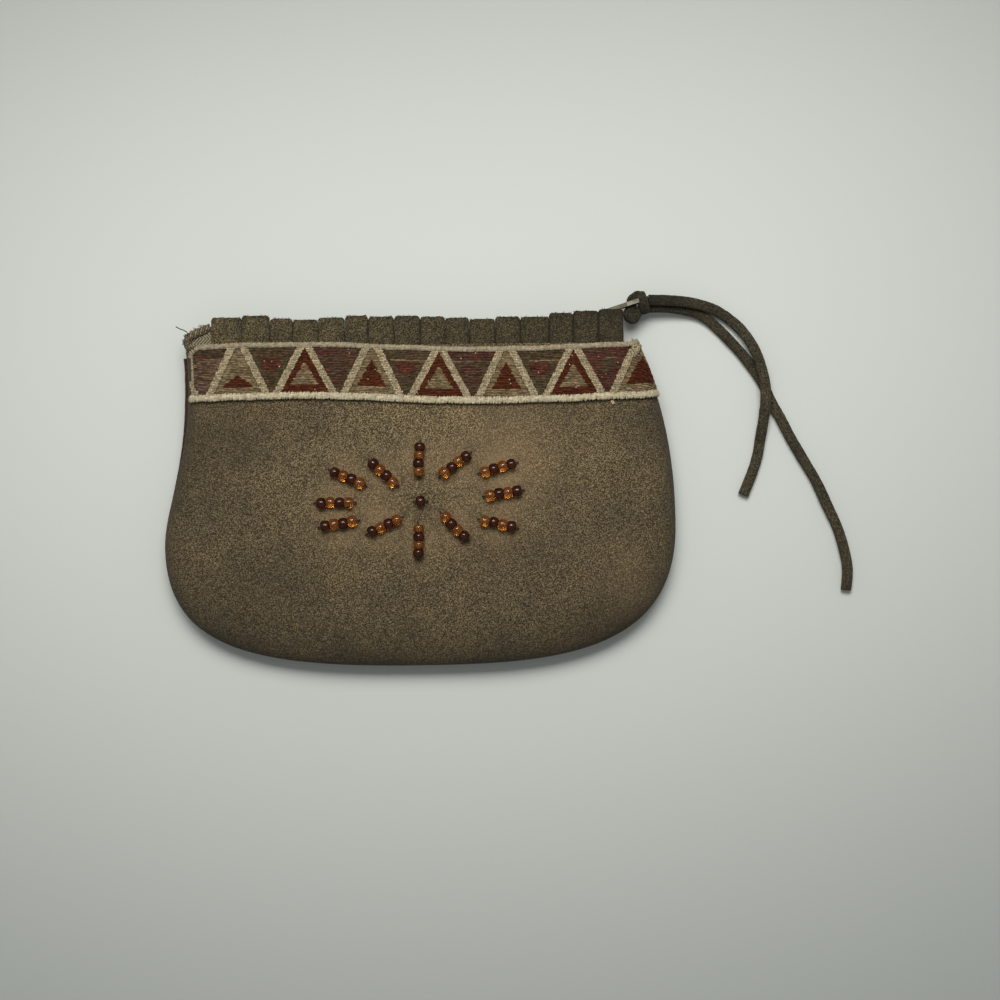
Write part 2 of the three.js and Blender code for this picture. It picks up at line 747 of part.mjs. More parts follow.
function tail(route, steps) {
  const section = ovalSection(laceWidth / 2, laceThickness / 2);
  return laceAlong(route.map(([along, across, z]) => [knotX + along, knotY + across, z]), section, steps);
}

addPiece('thong_tail_short', tail(shortTail, 24), 'lace');
addPiece('thong_tail_long', tail(longTail, 30), 'lace');

// Beads: twelve sewn rows that point at one bead in the middle of the front

const beadRows = [
  { name: 'bead_row_01', x: 0.2, y: 7.7, turn: 87 },
  { name: 'bead_row_02', x: 9.2, y: 6.3, turn: 37 },
  { name: 'bead_row_03', x: 20, y: 5.3, turn: 15 },
  { name: 'bead_row_04', x: 21.3, y: -1.1, turn: 8 },
  { name: 'bead_row_05', x: 19.9, y: -8.7, turn: -14 },
  { name: 'bead_row_06', x: 8.9, y: -9.3, turn: -46 },
  { name: 'bead_row_07', x: -0.3, y: -12.8, turn: -89 },
  { name: 'bead_row_08', x: -8.8, y: -8.9, turn: -155 },
  { name: 'bead_row_09', x: -20.3, y: -8.3, turn: -171 },
  { name: 'bead_row_10', x: -21.2, y: -3, turn: 180 },
  { name: 'bead_row_11', x: -18, y: 3.3, turn: 155 },
  { name: 'bead_row_12', x: -8.9, y: 4.4, turn: 137 },
];

function strungBeads(count) {
  const radius = beadDiameter / 2;
  const shoulder = 0.36 * beadPitch;
  const length = count * beadPitch;
  const profile = [new THREE.Vector2(0, -length / 2 - threadEnd)];
  profile.push(new THREE.Vector2(threadRadius, -length / 2 - threadEnd));
  for (let bead = 0; bead < count; bead += 1) {
    const middle = -length / 2 + (bead + 0.5) * beadPitch;
    profile.push(new THREE.Vector2(threadRadius, middle - beadPitch / 2));
    profile.push(new THREE.Vector2(0.8 * radius, middle - shoulder));
    profile.push(new THREE.Vector2(radius, middle));
    profile.push(new THREE.Vector2(0.8 * radius, middle + shoulder));
  }
  profile.push(new THREE.Vector2(threadRadius, length / 2));
  profile.push(new THREE.Vector2(threadRadius, length / 2 + threadEnd));
  profile.push(new THREE.Vector2(0, length / 2 + threadEnd));
  return geometryOf(solidOf(new THREE.LatheGeometry(profile, 8)));
}

function sewOn(piece, x, y, turn) {
  const normal = frontNormal(x, y);
  const along = new THREE.Vector3(Math.cos(turn), Math.sin(turn), 0);
  along.addScaledVector(normal, -along.dot(normal)).normalize();
  const across = new THREE.Vector3().crossVectors(along, normal);
  piece.quaternion.setFromRotationMatrix(new THREE.Matrix4().makeBasis(across, along, normal));
  piece.position.copy(onFront(x, y, beadDiameter / 2 + clearance));
}

for (const { name, x, y, turn } of beadRows) {
  sewOn(addPiece(name, strungBeads(beadsInRow), 'bead'), x, y, THREE.MathUtils.degToRad(turn));
}
sewOn(addPiece('centre_bead', strungBeads(1), 'darkBead'), 0.4, -2.9, 0);

export default purse;
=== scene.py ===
# Suede coin purse on a pale table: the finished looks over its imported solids.
# Shapes are worked out in millimetres and scaled to metres when a piece is finished.
import bpy
import bmesh
import math
import random
import numpy as np
from mathutils import Matrix, Vector, geometry, noise


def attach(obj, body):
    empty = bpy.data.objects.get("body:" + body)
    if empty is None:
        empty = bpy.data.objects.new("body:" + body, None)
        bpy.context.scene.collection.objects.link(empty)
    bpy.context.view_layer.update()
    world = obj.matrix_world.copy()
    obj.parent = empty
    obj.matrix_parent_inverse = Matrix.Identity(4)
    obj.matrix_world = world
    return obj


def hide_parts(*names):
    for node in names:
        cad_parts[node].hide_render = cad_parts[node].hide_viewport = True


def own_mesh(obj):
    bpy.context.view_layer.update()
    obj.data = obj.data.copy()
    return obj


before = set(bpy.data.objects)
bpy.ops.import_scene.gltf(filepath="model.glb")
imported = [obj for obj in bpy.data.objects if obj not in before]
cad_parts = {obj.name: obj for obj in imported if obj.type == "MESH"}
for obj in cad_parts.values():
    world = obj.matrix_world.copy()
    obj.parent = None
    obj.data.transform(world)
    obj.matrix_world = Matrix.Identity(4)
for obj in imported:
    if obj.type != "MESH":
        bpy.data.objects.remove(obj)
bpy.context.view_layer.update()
scene = bpy.context.scene
scene.view_settings.view_transform = "Standard"
mm = 0.001
dice = random.Random(41)


def eitherWay(reach):
    return dice.uniform(-reach, reach)


# Camera straight over the table, turned as the photograph is

cameraView = dict(
    centre=(20.41, -2.79), turn=-0.7, field=254.0, height=720.0, level=8.0, sensor=36, near=0.01, far=20)


def placeCamera():
    look = cameraView
    lens = bpy.data.cameras.new("overhead")
    lens.sensor_width = look["sensor"]
    lens.lens = look["sensor"] * look["height"] / look["field"]
    lens.clip_start = look["near"]
    lens.clip_end = look["far"]
    camera = bpy.data.objects.new("overhead", lens)
    scene.collection.objects.link(camera)
    x, y = look["centre"]
    camera.location = (x * mm, y * mm, (look["height"] + look["level"]) * mm)
    camera.rotation_euler = (0, 0, math.radians(look["turn"]))
    scene.camera = camera


placeCamera()


# Node helpers

def tint(red, green, blue):  # a colour as a paint chart gives it, made linear
    def linear(level):
        share = level / 255
        return share / 12.92 if share <= 0.04045 else ((share + 0.055) / 1.055) ** 2.4
    return (linear(red), linear(green), linear(blue), 1.0)


def newFinish(name, **sockets):
    finish = bpy.data.materials.new(name)
    finish.use_nodes = True
    shader = finish.node_tree.nodes["Principled BSDF"]
    for socket, value in sockets.items():
        shader.inputs[socket.replace("_", " ")].default_value = value
    return finish, finish.node_tree, shader


def feed(tree, socket, value):
    if isinstance(value, bpy.types.NodeSocket):
        tree.links.new(value, socket)
    else:
        socket.default_value = value


def objectPlace(tree):
    return tree.nodes.new("ShaderNodeTexCoord").outputs["Object"]


def readAttribute(tree, name, output="Fac"):
    node = tree.nodes.new("ShaderNodeAttribute")
    node.attribute_name = name
    return node.outputs[output]


def speckle(tree, place, scale, detail, roughness, stretch=None):
    if stretch:
        turn = tree.nodes.new("ShaderNodeMapping")
        turn.inputs["Scale"].default_value = stretch
        tree.links.new(place, turn.inputs["Vector"])
        place = turn.outputs["Vector"]
    node = tree.nodes.new("ShaderNodeTexNoise")
    node.inputs["Scale"].default_value = scale
    node.inputs["Detail"].default_value = detail
    node.inputs["Roughness"].default_value = roughness
    tree.links.new(place, node.inputs["Vector"])
    return node.outputs["Fac"]


def spread(tree, value, low, high, toLow=0.0, toHigh=1.0):
    node = tree.nodes.new("ShaderNodeMapRange")
    for socket, level in (("From Min", low), ("From Max", high), ("To Min", toLow), ("To Max", toHigh)):
        node.inputs[socket].default_value = level
    tree.links.new(value, node.inputs["Value"])
    return node.outputs["Result"]


def blendColours(tree, share, first, second, mode="MIX"):
    node = tree.nodes.new("ShaderNodeMix")
    node.data_type = "RGBA"
    node.blend_type = mode
    feed(tree, node.inputs[0], share)
    feed(tree, node.inputs[6], first)
    feed(tree, node.inputs[7], second)
    return node.outputs[2]


def mottle(tree, level, contrast, dark, pale):
    return blendColours(tree, spread(tree, level, *contrast), dark, pale)


def reckon(tree, kind, first, second=0.0):
    node = tree.nodes.new("ShaderNodeMath")
    node.operation = kind
    feed(tree, node.inputs[0], first)
    feed(tree, node.inputs[1], second)
    return node.outputs[0]


def rough(tree, shader, height, strength, depth):
    node = tree.nodes.new("ShaderNodeBump")
    node.inputs["Strength"].default_value = strength
    node.inputs["Distance"].default_value = depth * mm
    tree.links.new(height, node.inputs["Height"])
    tree.links.new(node.outputs["Normal"], shader.inputs["Normal"])


# Finishes

suedeLooks = dict(
    panelSuede=dict(pale=tint(160, 142, 108), deep=tint(59, 49, 33), grimeAndShade=tint(44, 39, 30), patch=75),
    fringeSuede=dict(pale=tint(139, 125, 93), deep=tint(50, 44, 30), grimeAndShade=tint(26, 24, 18), patch=120),
    laceSuede=dict(pale=tint(104, 95, 74), deep=tint(42, 38, 28), grimeAndShade=tint(20, 19, 15), patch=160),
    # edgeSuede is dark partly with painted shade, for the seam's edge lies in shadow
    edgeSuede=dict(pale=tint(104, 72, 60), deep=tint(44, 28, 22), grimeAndShade=tint(30, 22, 18), patch=120),
)
napLook = dict(  # what all the suedes share
    shader=dict(Roughness=0.95, Sheen_Weight=0.03, Sheen_Roughness=0.6, Specular_IOR_Level=0.15),
    tufts=5600, tuftPart=0.7, fibres=(2800, 2.0, 0.6), fibrePart=0.6, patch=(3.0, 0.55), bump=(0.5, 0.2),
    grain=(0.595, 1.055), patches=(0.35, 0.68), dim=tint(218, 219, 221), bright=tint(255, 252, 246),
    paleAreas=tint(152, 126, 93),
)


def flecks(tree, place, scale):  # each tuft of the nap has a level of its own
    cells = tree.nodes.new("ShaderNodeTexVoronoi")
    cells.inputs["Scale"].default_value = scale
    tree.links.new(place, cells.inputs["Vector"])
    split = tree.nodes.new("ShaderNodeSeparateColor")
    tree.links.new(cells.outputs["Color"], split.inputs["Color"])
    return split.outputs["Red"]


def suede(name):
    look = suedeLooks[name]
    nap = napLook
    finish, tree, shader = newFinish(name, **nap["shader"])
    place = objectPlace(tree)
    fibres = speckle(tree, place, *nap["fibres"])
    tufts = reckon(tree, "MULTIPLY", flecks(tree, place, nap["tufts"]), nap["tuftPart"])
    patch = speckle(tree, place, look["patch"], *nap["patch"])
    grain = reckon(tree, "ADD", tufts, reckon(tree, "MULTIPLY", fibres, nap["fibrePart"]))
    colour = mottle(tree, grain, nap["grain"], look["deep"], look["pale"])
    shade = mottle(tree, patch, nap["patches"], nap["dim"], nap["bright"])
    colour = blendColours(tree, 1.0, colour, shade, "MULTIPLY")
    # darkened towards the grimeAndShade colour: dirt, and painted shade in needle holes, on rolled edges and
    # between fringe tabs
    colour = blendColours(tree, readAttribute(tree, "grimeAndShade"), colour, look["grimeAndShade"])
    if name == "panelSuede":  # paler and warmer in soft areas, most of all round the beads, where it is rubbed
        colour = blendColours(tree, readAttribute(tree, "rub"), colour, nap["paleAreas"])
    tree.links.new(colour, shader.inputs["Base Color"])
    rough(tree, shader, fibres, *nap["bump"])
    return finish


yarnLook = dict(
    shader=dict(Roughness=0.92, Specular_IOR_Level=0.15), fibre=(2600, 2.0, 0.6, (0.35, 1.0, 1.0)),
    contrast=(0.3, 0.7), dim=tint(176, 172, 166), bright=tint(255, 253, 248), bump=(0.5, 0.12))


def yarn(name):  # the colour comes with each stitch, and the fibres run along X
    look = yarnLook
    finish, tree, shader = newFinish(name, **look["shader"])
    fibre = speckle(tree, objectPlace(tree), *look["fibre"])
    shade = mottle(tree, fibre, look["contrast"], look["dim"], look["bright"])
    colour = blendColours(tree, 1.0, readAttribute(tree, "yarnColour", "Color"), shade, "MULTIPLY")
    tree.links.new(colour, shader.inputs["Base Color"])
    rough(tree, shader, fibre, *look["bump"])
    return finish


tapeLook = dict(
    shader=dict(Roughness=0.9, Sheen_Weight=0.1, IOR=1.4), rib=0.8, band=1.3, fuzz=(1800, 3.0, 0.65),
    fuzzPart=2.6, contrast=(0.2, 2.4), deep=tint(54, 47, 36), pale=tint(146, 134, 108), bump=(0.6, 0.12))


def twill(name):  # herringbone ribs on the tape's own map, which counts millimetres
    look = tapeLook
    finish, tree, shader = newFinish(name, **look["shader"])
    laid = tree.nodes.new("ShaderNodeUVMap")
    laid.uv_map = "laid"
    split = tree.nodes.new("ShaderNodeSeparateXYZ")
    tree.links.new(laid.outputs["UV"], split.inputs["Vector"])
    zig = reckon(tree, "PINGPONG", split.outputs["Y"], look["band"])
    along = reckon(tree, "ADD", split.outputs["X"], zig)
    rib = reckon(tree, "SINE", reckon(tree, "MULTIPLY", along, 2 * math.pi / look["rib"]))
    fuzz = speckle(tree, objectPlace(tree), *look["fuzz"])
    height = reckon(tree, "ADD", rib, reckon(tree, "MULTIPLY", fuzz, look["fuzzPart"]))
    colour = mottle(tree, height, look["contrast"], look["deep"], look["pale"])
    tree.links.new(colour, shader.inputs["Base Color"])
    rough(tree, shader, height, *look["bump"])
    return finish


beadBody = dict(Roughness=0.08, IOR=1.43, Specular_IOR_Level=0.04)
beadSwirl = dict(mottle=(700, 2.0, 0.5), contrast=(0.3, 0.7))
plainLooks = dict(  # a mottle of two colours, and some have a worn shine or a relief
    amberGlass=dict(beadSwirl, shader=dict(beadBody, Transmission_Weight=0.9),
                    deep=tint(184, 102, 24), pale=tint(222, 154, 58)),
    brownGlass=dict(beadSwirl, shader=dict(beadBody, Transmission_Weight=0.66),
                    deep=tint(46, 16, 4), pale=tint(92, 36, 8)),
    pewterPlate=dict(shader=dict(Roughness=0.4, Metallic=0.85), mottle=(420, 4.0, 0.6), contrast=(0.35, 0.65),
                     deep=tint(74, 69, 59), pale=tint(112, 106, 92), shine=(0.3, 0.7, 0.55, 0.32),
                     relief=(900, 2.0, 0.5, (0.15, 1.0, 1.0)), bump=(0.2, 0.05)),
    beadThread=dict(shader=dict(Roughness=0.8), mottle=(3200, 2.0, 0.5), contrast=(0.3, 0.7),
                    deep=tint(20, 15, 11), pale=tint(58, 44, 32), relief=(3200, 2.0, 0.5), bump=(0.5, 0.1)),
)


def plainFinish(name):
    look = plainLooks[name]
    finish, tree, shader = newFinish(name, **look["shader"])
    place = objectPlace(tree)
    level = speckle(tree, place, *look["mottle"])
    colour = mottle(tree, level, look["contrast"], look["deep"], look["pale"])
    tree.links.new(colour, shader.inputs["Base Color"])
    if "shine" in look:
        tree.links.new(spread(tree, level, *look["shine"]), shader.inputs["Roughness"])
    if "relief" in look:
        rough(tree, shader, speckle(tree, place, *look["relief"]), *look["bump"])
    return finish



finishes = {name: suede(name) for name in suedeLooks}
finishes.update({name: plainFinish(name) for name in plainLooks})
finishes["trimYarn"] = yarn("trimYarn")
finishes["tapeTwill"] = twill("tapeTwill")
print("finishes ready:", len(finishes))


# Mesh helpers

def finishPiece(bm, name, body, finishNames):
    bmesh.ops.scale(bm, vec=(mm, mm, mm), verts=bm.verts)
    mesh = bpy.data.meshes.new(name)
    bm.to_mesh(mesh)
    bm.free()
    for finishName in finishNames:
        mesh.materials.append(finishes[finishName])
    mesh.shade_smooth()
    piece = bpy.data.objects.new(name, mesh)
    scene.collection.objects.link(piece)
    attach(piece, body)
    return piece


def newGrid(columns, rows):
    bm = bmesh.new()
    bmesh.ops.create_grid(bm, x_segments=columns, y_segments=rows, size=0.5)
    return bm


def addInto(bm, part, place=Matrix.Identity(4), finishIndex=0):  # moves a small shape into a larger mesh
    for face in part.faces:
        face.material_index = finishIndex
    bmesh.ops.transform(part, matrix=place, verts=part.verts)
    carrier = bpy.data.meshes.new("carrier")
    part.to_mesh(carrier)
    part.free()
    bm.from_mesh(carrier)
    bpy.data.meshes.remove(carrier)


def thicken(piece, thickness, offset):
    wall = piece.modifiers.new("skin", "SOLIDIFY")
    wall.thickness = thickness * mm
    wall.offset = offset
    wall.use_even_offset = False


def softenEdges(piece, width, angle):
    edge = piece.modifiers.new("softEdge", "BEVEL")
    edge.width = width * mm
    edge.segments = 2
    edge.angle_limit = math.radians(angle)


def smoothPath(points, perSpan):
    points = [Vector(point) for point in points]
    path = []
    for i in range(len(points) - 1):
        before = points[max(i - 1, 0)]
        start = points[i]
        end = points[i + 1]
        after = points[min(i + 2, len(points) - 1)]
        path += geometry.interpolate_bezier(
            start, start + (end - before) / 6, end - (after - start) / 6, end, perSpan + 1)[:-1]
    return path + [points[-1]]


def laceFrames(path):
    frames = []
    for i, point in enumerate(path):
        ahead = path[min(i + 1, len(path) - 1)] - path[max(i - 1, 0)]
        ahead.normalize()
        before = frames[-1].col[0].to_3d() if frames else Vector((1, 0, 0))
        side = ahead.cross(Vector((0, 0, 1)))
        side = side.normalized() if side.length > 0.05 else before  # it has no side where it runs straight up
        if frames and side.dot(before) < 0:
            side = -side
        up = side.cross(ahead)
        frames.append(Matrix.Translation(point) @ Matrix((side, up, ahead)).transposed().to_4x4())
    return frames


def laceAlong(bm, path, width, height, sides=14, square=0.62, swell=lambda share: 1.0):
    frames = laceFrames(path)
    ring = bmesh.ops.create_circle(bm, cap_ends=True, segments=sides, radius=1.0)["verts"]
    for vert in ring:
        angle = math.atan2(vert.co.y, vert.co.x)
        vert.co.x = width / 2 * math.copysign(abs(math.cos(angle)) ** square, math.cos(angle))
        vert.co.y = height / 2 * math.copysign(abs(math.sin(angle)) ** square, math.sin(angle))
    here = frames[0] @ Matrix.Scale(swell(0.0), 4)
    bmesh.ops.transform(bm, matrix=here, verts=ring)
    edges = list(dict.fromkeys(edge for vert in ring for edge in vert.link_edges))
    for i, place in enumerate(frames[1:], 1):
        there = place @ Matrix.Scale(swell(i / (len(frames) - 1)), 4)
        grown = bmesh.ops.extrude_edge_only(bm, edges=edges)["geom"]
        verts = [part for part in grown if isinstance(part, bmesh.types.BMVert)]
        edges = [part for part in grown if isinstance(part, bmesh.types.BMEdge)
                 and part.verts[0] in verts and part.verts[1] in verts]
        bmesh.ops.transform(bm, matrix=there @ here.inverted(), verts=verts)
        here = there
    bmesh.ops.contextual_create(bm, geom=edges)
    bmesh.ops.recalc_face_normals(bm, faces=bm.faces)


# Thong: one suede lace hitched through the pull, with two tails that fall to the table

thongLook = dict(
    width=2.75, height=1.75, square=0.8, lumps=(0.05, 14), chain=4.9, pivot=(41.3, 42.85), tilt=17.3,
    eye=13.9, hitch=(2.2, 2.3), bulge=(0.34, 0.7, 0.14),  # how much fuller the hitch is, and where along it
    collar=(2.5, 2.3), collarAt=(-2.9, 0.5), collarRing=(0.5, 1.8, 1.9), collarSteps=28,
    knotGrime=0.45, tailGrime=(0.68, 14), patchGrime=(0.3, 0.12), darkestLevel=0.8,
    leaves=(60.37, 46.58),  # where the tails leave the knot, and the routes below are counted from there
    hitchFrom=[(-1.6, 1.1, 5.8), (-2.4, 1.15, 5.7)],
    throughEye=[  # counted from the pull's eye, along it, across it and up
        (2.3, 1.35, 0.4), (1, 1.25, 0.1), (0, 0.625, 0), (0, -0.625, 0), (-0.8, -1.25, 0), (-1.6, -2.65, 0),
        (-0.8, -3.75, -0.2), (0.8, -2.75, -0.5)],
    hitchTo=[(-2.4, -0.7, 4.1), (-1.6, -0.6, 4.0)],
    shortTail=[
        (-1.5, 1.1, 5.8), (4.2, 0.95, 5.2), (9.2, 0.45, 4.1), (14.7, -1, 2.5), (19, -3.5, 1.5),
        (22.9, -7.2, 1.7), (25.6, -11.6, 2.7), (27.2, -16, 2.9), (28.2, -20.5, 2.9), (28.3, -24.9, 2.8),
        (27.8, -29.3, 2.2), (27, -34.2, 1.2), (26.1, -39.2, 0.95), (24.6, -43.6, 0.95), (22.4, -48.9, 0.95)],
    longTail=[
        (-1.5, -0.6, 4.0), (4.2, -0.75, 3.1), (9.2, -1.6, 1.9), (12.5, -2.85, 1.3), (15.7, -5.4, 0.95),
        (19.5, -9.3, 0.95), (23, -13.3, 0.95), (27.2, -19.2, 0.95), (29.8, -24.9, 0.95),
        (32.2, -29.3, 0.95), (34.7, -34.3, 0.95), (37.9, -39.9, 0.95), (41.1, -45.5, 0.95),
        (43.8, -51.5, 0.95), (46.5, -57.6, 0.95), (48.1, -63.2, 0.95), (48.9, -68.1, 0.95),
        (48.5, -73.6, 0.95)],
)


def napEdges(bm, amount, seed):  # a cut suede edge is never quite straight
    for vert in bm.verts:
        shift = noise.noise_vector(vert.co * 1.1 + Vector((seed, 0, 0)))
        vert.co += Vector((shift.x, shift.y, 0.4 * shift.z)) * amount


def addGrimeAndShade(bm, level):
    layer = bm.verts.layers.float.new("grimeAndShade")
    for vert in bm.verts:
        vert[layer] = level(vert.co)


def besideEye(along, across, lift):
    look = thongLook
    tilt = math.radians(look["tilt"])
    reach = look["eye"] + along
    return (look["pivot"][0] + reach * math.cos(tilt) - across * math.sin(tilt),
            look["pivot"][1] + reach * math.sin(tilt) + across * math.cos(tilt), look["chain"] + lift)


def fromKnot(points):
    endX, endY = thongLook["leaves"]
    return [(endX + along, endY + across, z) for along, across, z in points]


def tieKnot():
    look = thongLook
    more, middle, reach = look["bulge"]
    lean, half, high = look["collarRing"]
    along, across = look["collarAt"]
    route = fromKnot(look["hitchFrom"]) + [besideEye(*spot) for spot in look["throughEye"]]
    route += fromKnot(look["hitchTo"])
    bm = bmesh.new()
    laceAlong(bm, smoothPath(route, 8), *look["hitch"],
              swell=lambda share: 1.0 + more * math.exp(-((share - middle) / reach) ** 2))
    collar = []
    for step in range(look["collarSteps"] + 1):
        angle = 2 * math.pi * step / look["collarSteps"]
        collar.append((along - lean * math.cos(angle), across + half * math.cos(angle),
                       look["chain"] + high * math.sin(angle)))
    laceAlong(bm, [Vector(point) for point in fromKnot(collar)], *look["collar"])
    napEdges(bm, amount=0.07, seed=3.0)
    addGrimeAndShade(bm, lambda co: look["knotGrime"])
    knot = finishPiece(bm, "thongKnot", "pull", ["laceSuede"])
    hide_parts("thong_knot")
    return knot


def layTail(name, node, points, seed):
    look = thongLook
    path = smoothPath(fromKnot(points), 9)
    start = path[0].copy()
    lump, lumps = look["lumps"]
    near, nearReach = look["tailGrime"]
    patch, patchScale = look["patchGrime"]

    def soiled(co):  # darkest beside the knot, and in patches
        spot = noise.noise(co * patchScale + Vector((seed, 0, 0)))
        level = near * math.exp(-(co - start).length / nearReach) + patch * max(0.0, spot)
        return min(look["darkestLevel"], level)

    bm = bmesh.new()
    laceAlong(bm, path, look["width"], look["height"], square=look["square"],
              swell=lambda share: 1.0 + lump * noise.noise(Vector((share * lumps, seed, 0))))
    napEdges(bm, amount=0.06, seed=seed)
    addGrimeAndShade(bm, soiled)
    tail = finishPiece(bm, name, "pull", ["laceSuede"])
    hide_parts(node)
    return tail


thongKnot = tieKnot()
layTail("thongTailShort", "thong_tail_short", thongLook["shortTail"], 5.0)
layTail("thongTailLong", "thong_tail_long", thongLook["longTail"], 9.0)
print("thong laid")


# Form of the purse: its outline, and the height of its front over the table

purseForm = dict(
    rim=[(-59.2, 36.8), (-56.5, 10.8), (-65.1, -1.9), (-65.1, -13.9), (-65.1, -39.9), (-42.5, -44.7),
         (-2.5, -44.7), (31.5, -44.7), (65.1, -43.7), (65.1, -9.7), (65.1, 0.3), (64.4, 18.8), (55.4, 36.8)],
    bottom=-44.7, topEdge=36.8, seam=4.5, mouth=11.2, crown=1.9, rollTop=2.8, rollBottom=13.0,
    skin=1.0, gap=0.15, turnIn=4.0, fold=0.55, spanSteps=160, rimPoints=721, sidePoints=200,
)
dentLook = dict(  # the height of each wave, how fast it runs along X and Y, and where it starts
    broad=(0.30, 0.071, 0.6, 0.083, -0.4), slants=[(0.16, 0.148, -0.091, 1.1), (0.10, 0.13, 0.21, 0.0)],
    calm=(26, 14))


def purseOutline(count):  # four Bezier spans from the mouth's left end, set out again in even steps
    knots = [Vector((x, y, 0)) for x, y in purseForm["rim"]]
    points = []
    for start in range(0, len(knots) - 1, 3):
        points += geometry.interpolate_bezier(*knots[start:start + 4], purseForm["spanSteps"])[:-1]
    line = np.array([[point.x, point.y] for point in points + knots[-1:]])
    along = np.concatenate([[0], np.cumsum(np.hypot(*np.diff(line, axis=0).T))])
    even = np.linspace(0, along[-1], count)
    return np.stack([np.interp(even, along, line[:, 0]), np.interp(even, along, line[:, 1])], 1)


rim = purseOutline(purseForm["rimPoints"])
rimTurn = np.arctan2(purseForm["topEdge"] - rim[:, 1], rim[:, 0])[::-1]
rimFar = np.hypot(rim[:, 0], rim[:, 1] - purseForm["topEdge"])[::-1]
leftRim = rim[:purseForm["sidePoints"]][::-1]
rightRim = rim[-purseForm["sidePoints"]:]


def depthBelowMouth(y):
    return (purseForm["topEdge"] - y) / (purseForm["topEdge"] - purseForm["bottom"])


def rollAt(rimY):
    return purseForm["rollTop"] + (purseForm["rollBottom"] - purseForm["rollTop"]) * depthBelowMouth(rimY)


def dents(x, y):  # slow waves of a skin that has been carried about, dying away towards the mouth
    high, alongX, startX, alongY, startY = dentLook["broad"]
    wave = high * np.sin(alongX * x + startX) * np.sin(alongY * y + startY)
    for high, alongX, alongY, start in dentLook["slants"]:
        wave = wave + high * np.sin(alongX * x + alongY * y + start)
    calm, over = dentLook["calm"]
    return wave * np.clip((calm - y) / over, 0, 1)


def frontHeight(x, y):
    form = purseForm
    drop = np.maximum(form["topEdge"] - y, 1e-3)
    reach = np.hypot(x, drop)
    far = np.interp(np.arctan2(drop, x), rimTurn, rimFar)
    roll = rollAt(form["topEdge"] - drop * far / reach)
    inset = np.maximum(far - reach, 0)
    rounded = np.sqrt(1 - (1 - np.minimum(inset / roll, 1)) ** 2)
    stuffed = form["mouth"] + 4 * form["crown"] * depthBelowMouth(form["topEdge"] - drop) * (
        1 - np.minimum(reach / far, 1))
    return form["seam"] + (stuffed + dents(x, y) - form["seam"]) * rounded


def frontFrame(x, y, lift, turn=0.0):  # X along the turn within the face, Z out of it
    step = 0.06
    slopeX = float(frontHeight(x + step, y) - frontHeight(x - step, y)) / (2 * step)
    slopeY = float(frontHeight(x, y - step) - frontHeight(x, y - 3 * step)) / (2 * step)
    out = Vector((-slopeX, -slopeY, 1)).normalized()
    along = Vector((math.cos(turn), math.sin(turn), 0))
    along = (along - out * along.dot(out)).normalized()
    across = out.cross(along)
    place = Vector((x, y, float(frontHeight(x, y)))) + out * lift
    return Matrix.Translation(place) @ Matrix((along, across, out)).transposed().to_4x4()


# Beads: where each row of the starburst is sewn, and the angle to its outer end

beadLook = dict(
    radius=1.42, length=2.16, bore=0.36, pitch=2.13, sink=1.4, thread=0.2, reach=0.75, tight=0.97, loose=0.11,
    mouth=[(0.78, 0.0), (0.97, 0.2)],  # shares of half the length, and how far out from the bore
    flank=[(0.98, 0.62), (0.74, 0.88), (0.36, 0.98), (0, 1)],  # shares of half the length and of the radius
    steps=22, sizes=(0.95, 1.04), lean=7, aside=0.14, lift=(-0.03, 0.06), spin=6.28,
    dip=[(0, 1, 0.5), (0.15, 0.75, 0), (0.75, 0.15, 0), (1.5, 0, 0)],  # how the thread's ends go down
    rows=dict(
        beadRow01=(0.2, 7.7, 87), beadRow02=(9.2, 6.3, 37), beadRow03=(20, 5.3, 15),
        beadRow04=(21.3, -1.1, 8), beadRow05=(19.9, -8.7, -14), beadRow06=(8.9, -9.3, -46),
        beadRow07=(-0.3, -12.8, -89), beadRow08=(-8.8, -8.9, -155), beadRow09=(-20.3, -8.3, -171),
        beadRow10=(-21.2, -3, 180), beadRow11=(-18, 3.3, 155), beadRow12=(-8.9, 4.4, 137)),
    centre=(0.4, -2.9),
)


def rowPitch(turn):  # rows along the purse were strung a little looser
    return beadLook["pitch"] * (beadLook["tight"] + beadLook["loose"] * abs(math.cos(math.radians(turn))))


def needleHoles():
    holes = []
    for x, y, turn in beadLook["rows"].values():
        reach = 2 * rowPitch(turn) + beadLook["reach"]
        for side in (1, -1):
            holes.append((x + side * reach * math.cos(math.radians(turn)),
                          y + side * reach * math.sin(math.radians(turn))))
    return holes


# Panels: sections fan out from the middle of the mouth, roll over the edge and turn in at the seam

panelLook = dict(
    steps=320, face=104, roll=16, fold=5, lip=3, hole=(0.5, 0.75, 0.85),  # a hole's depth, radius and painted shade
    edgeWearAndShade=(1.0, 3.6), paleMiddle=(40, 8, 28), grimeAndShade=(0.3, 0.4, 0.85), rub=(0.24, 5.5, 0.4),
    darkening=[  # soft dark areas: place, reach and strength
        (-47, 14, 14, 9, 0.3), (-55, 4, 7, 10, 0.14), (22, -16, 13, 5, 0.17), (-35, -24, 16, 7, 0.13),
        (52, -38, 11, 8, 0.22), (57, 17, 5, 6, 0.22), (1, 0, 5, 5, 0.16)],
    paleAreas=[(23, 9, 12, 14, 0.2), (-15, -6, 9, 8, 0.1), (53, -25, 8, 9, 0.1)],  # soft pale areas
    backWave=(0.22, 0.11, 0.4, 0.13), backFlat=4, brim=(52.4, 1.5), brimRises=(1.2, 1.6, 1.2), brimLean=0.04,
)


def softArea(x, y, areas):
    level = 0.0
    for areaX, areaY, wide, high, strength in areas:
        level += strength * math.exp(-((x - areaX) / wide) ** 2 - ((y - areaY) / high) ** 2)
    return level


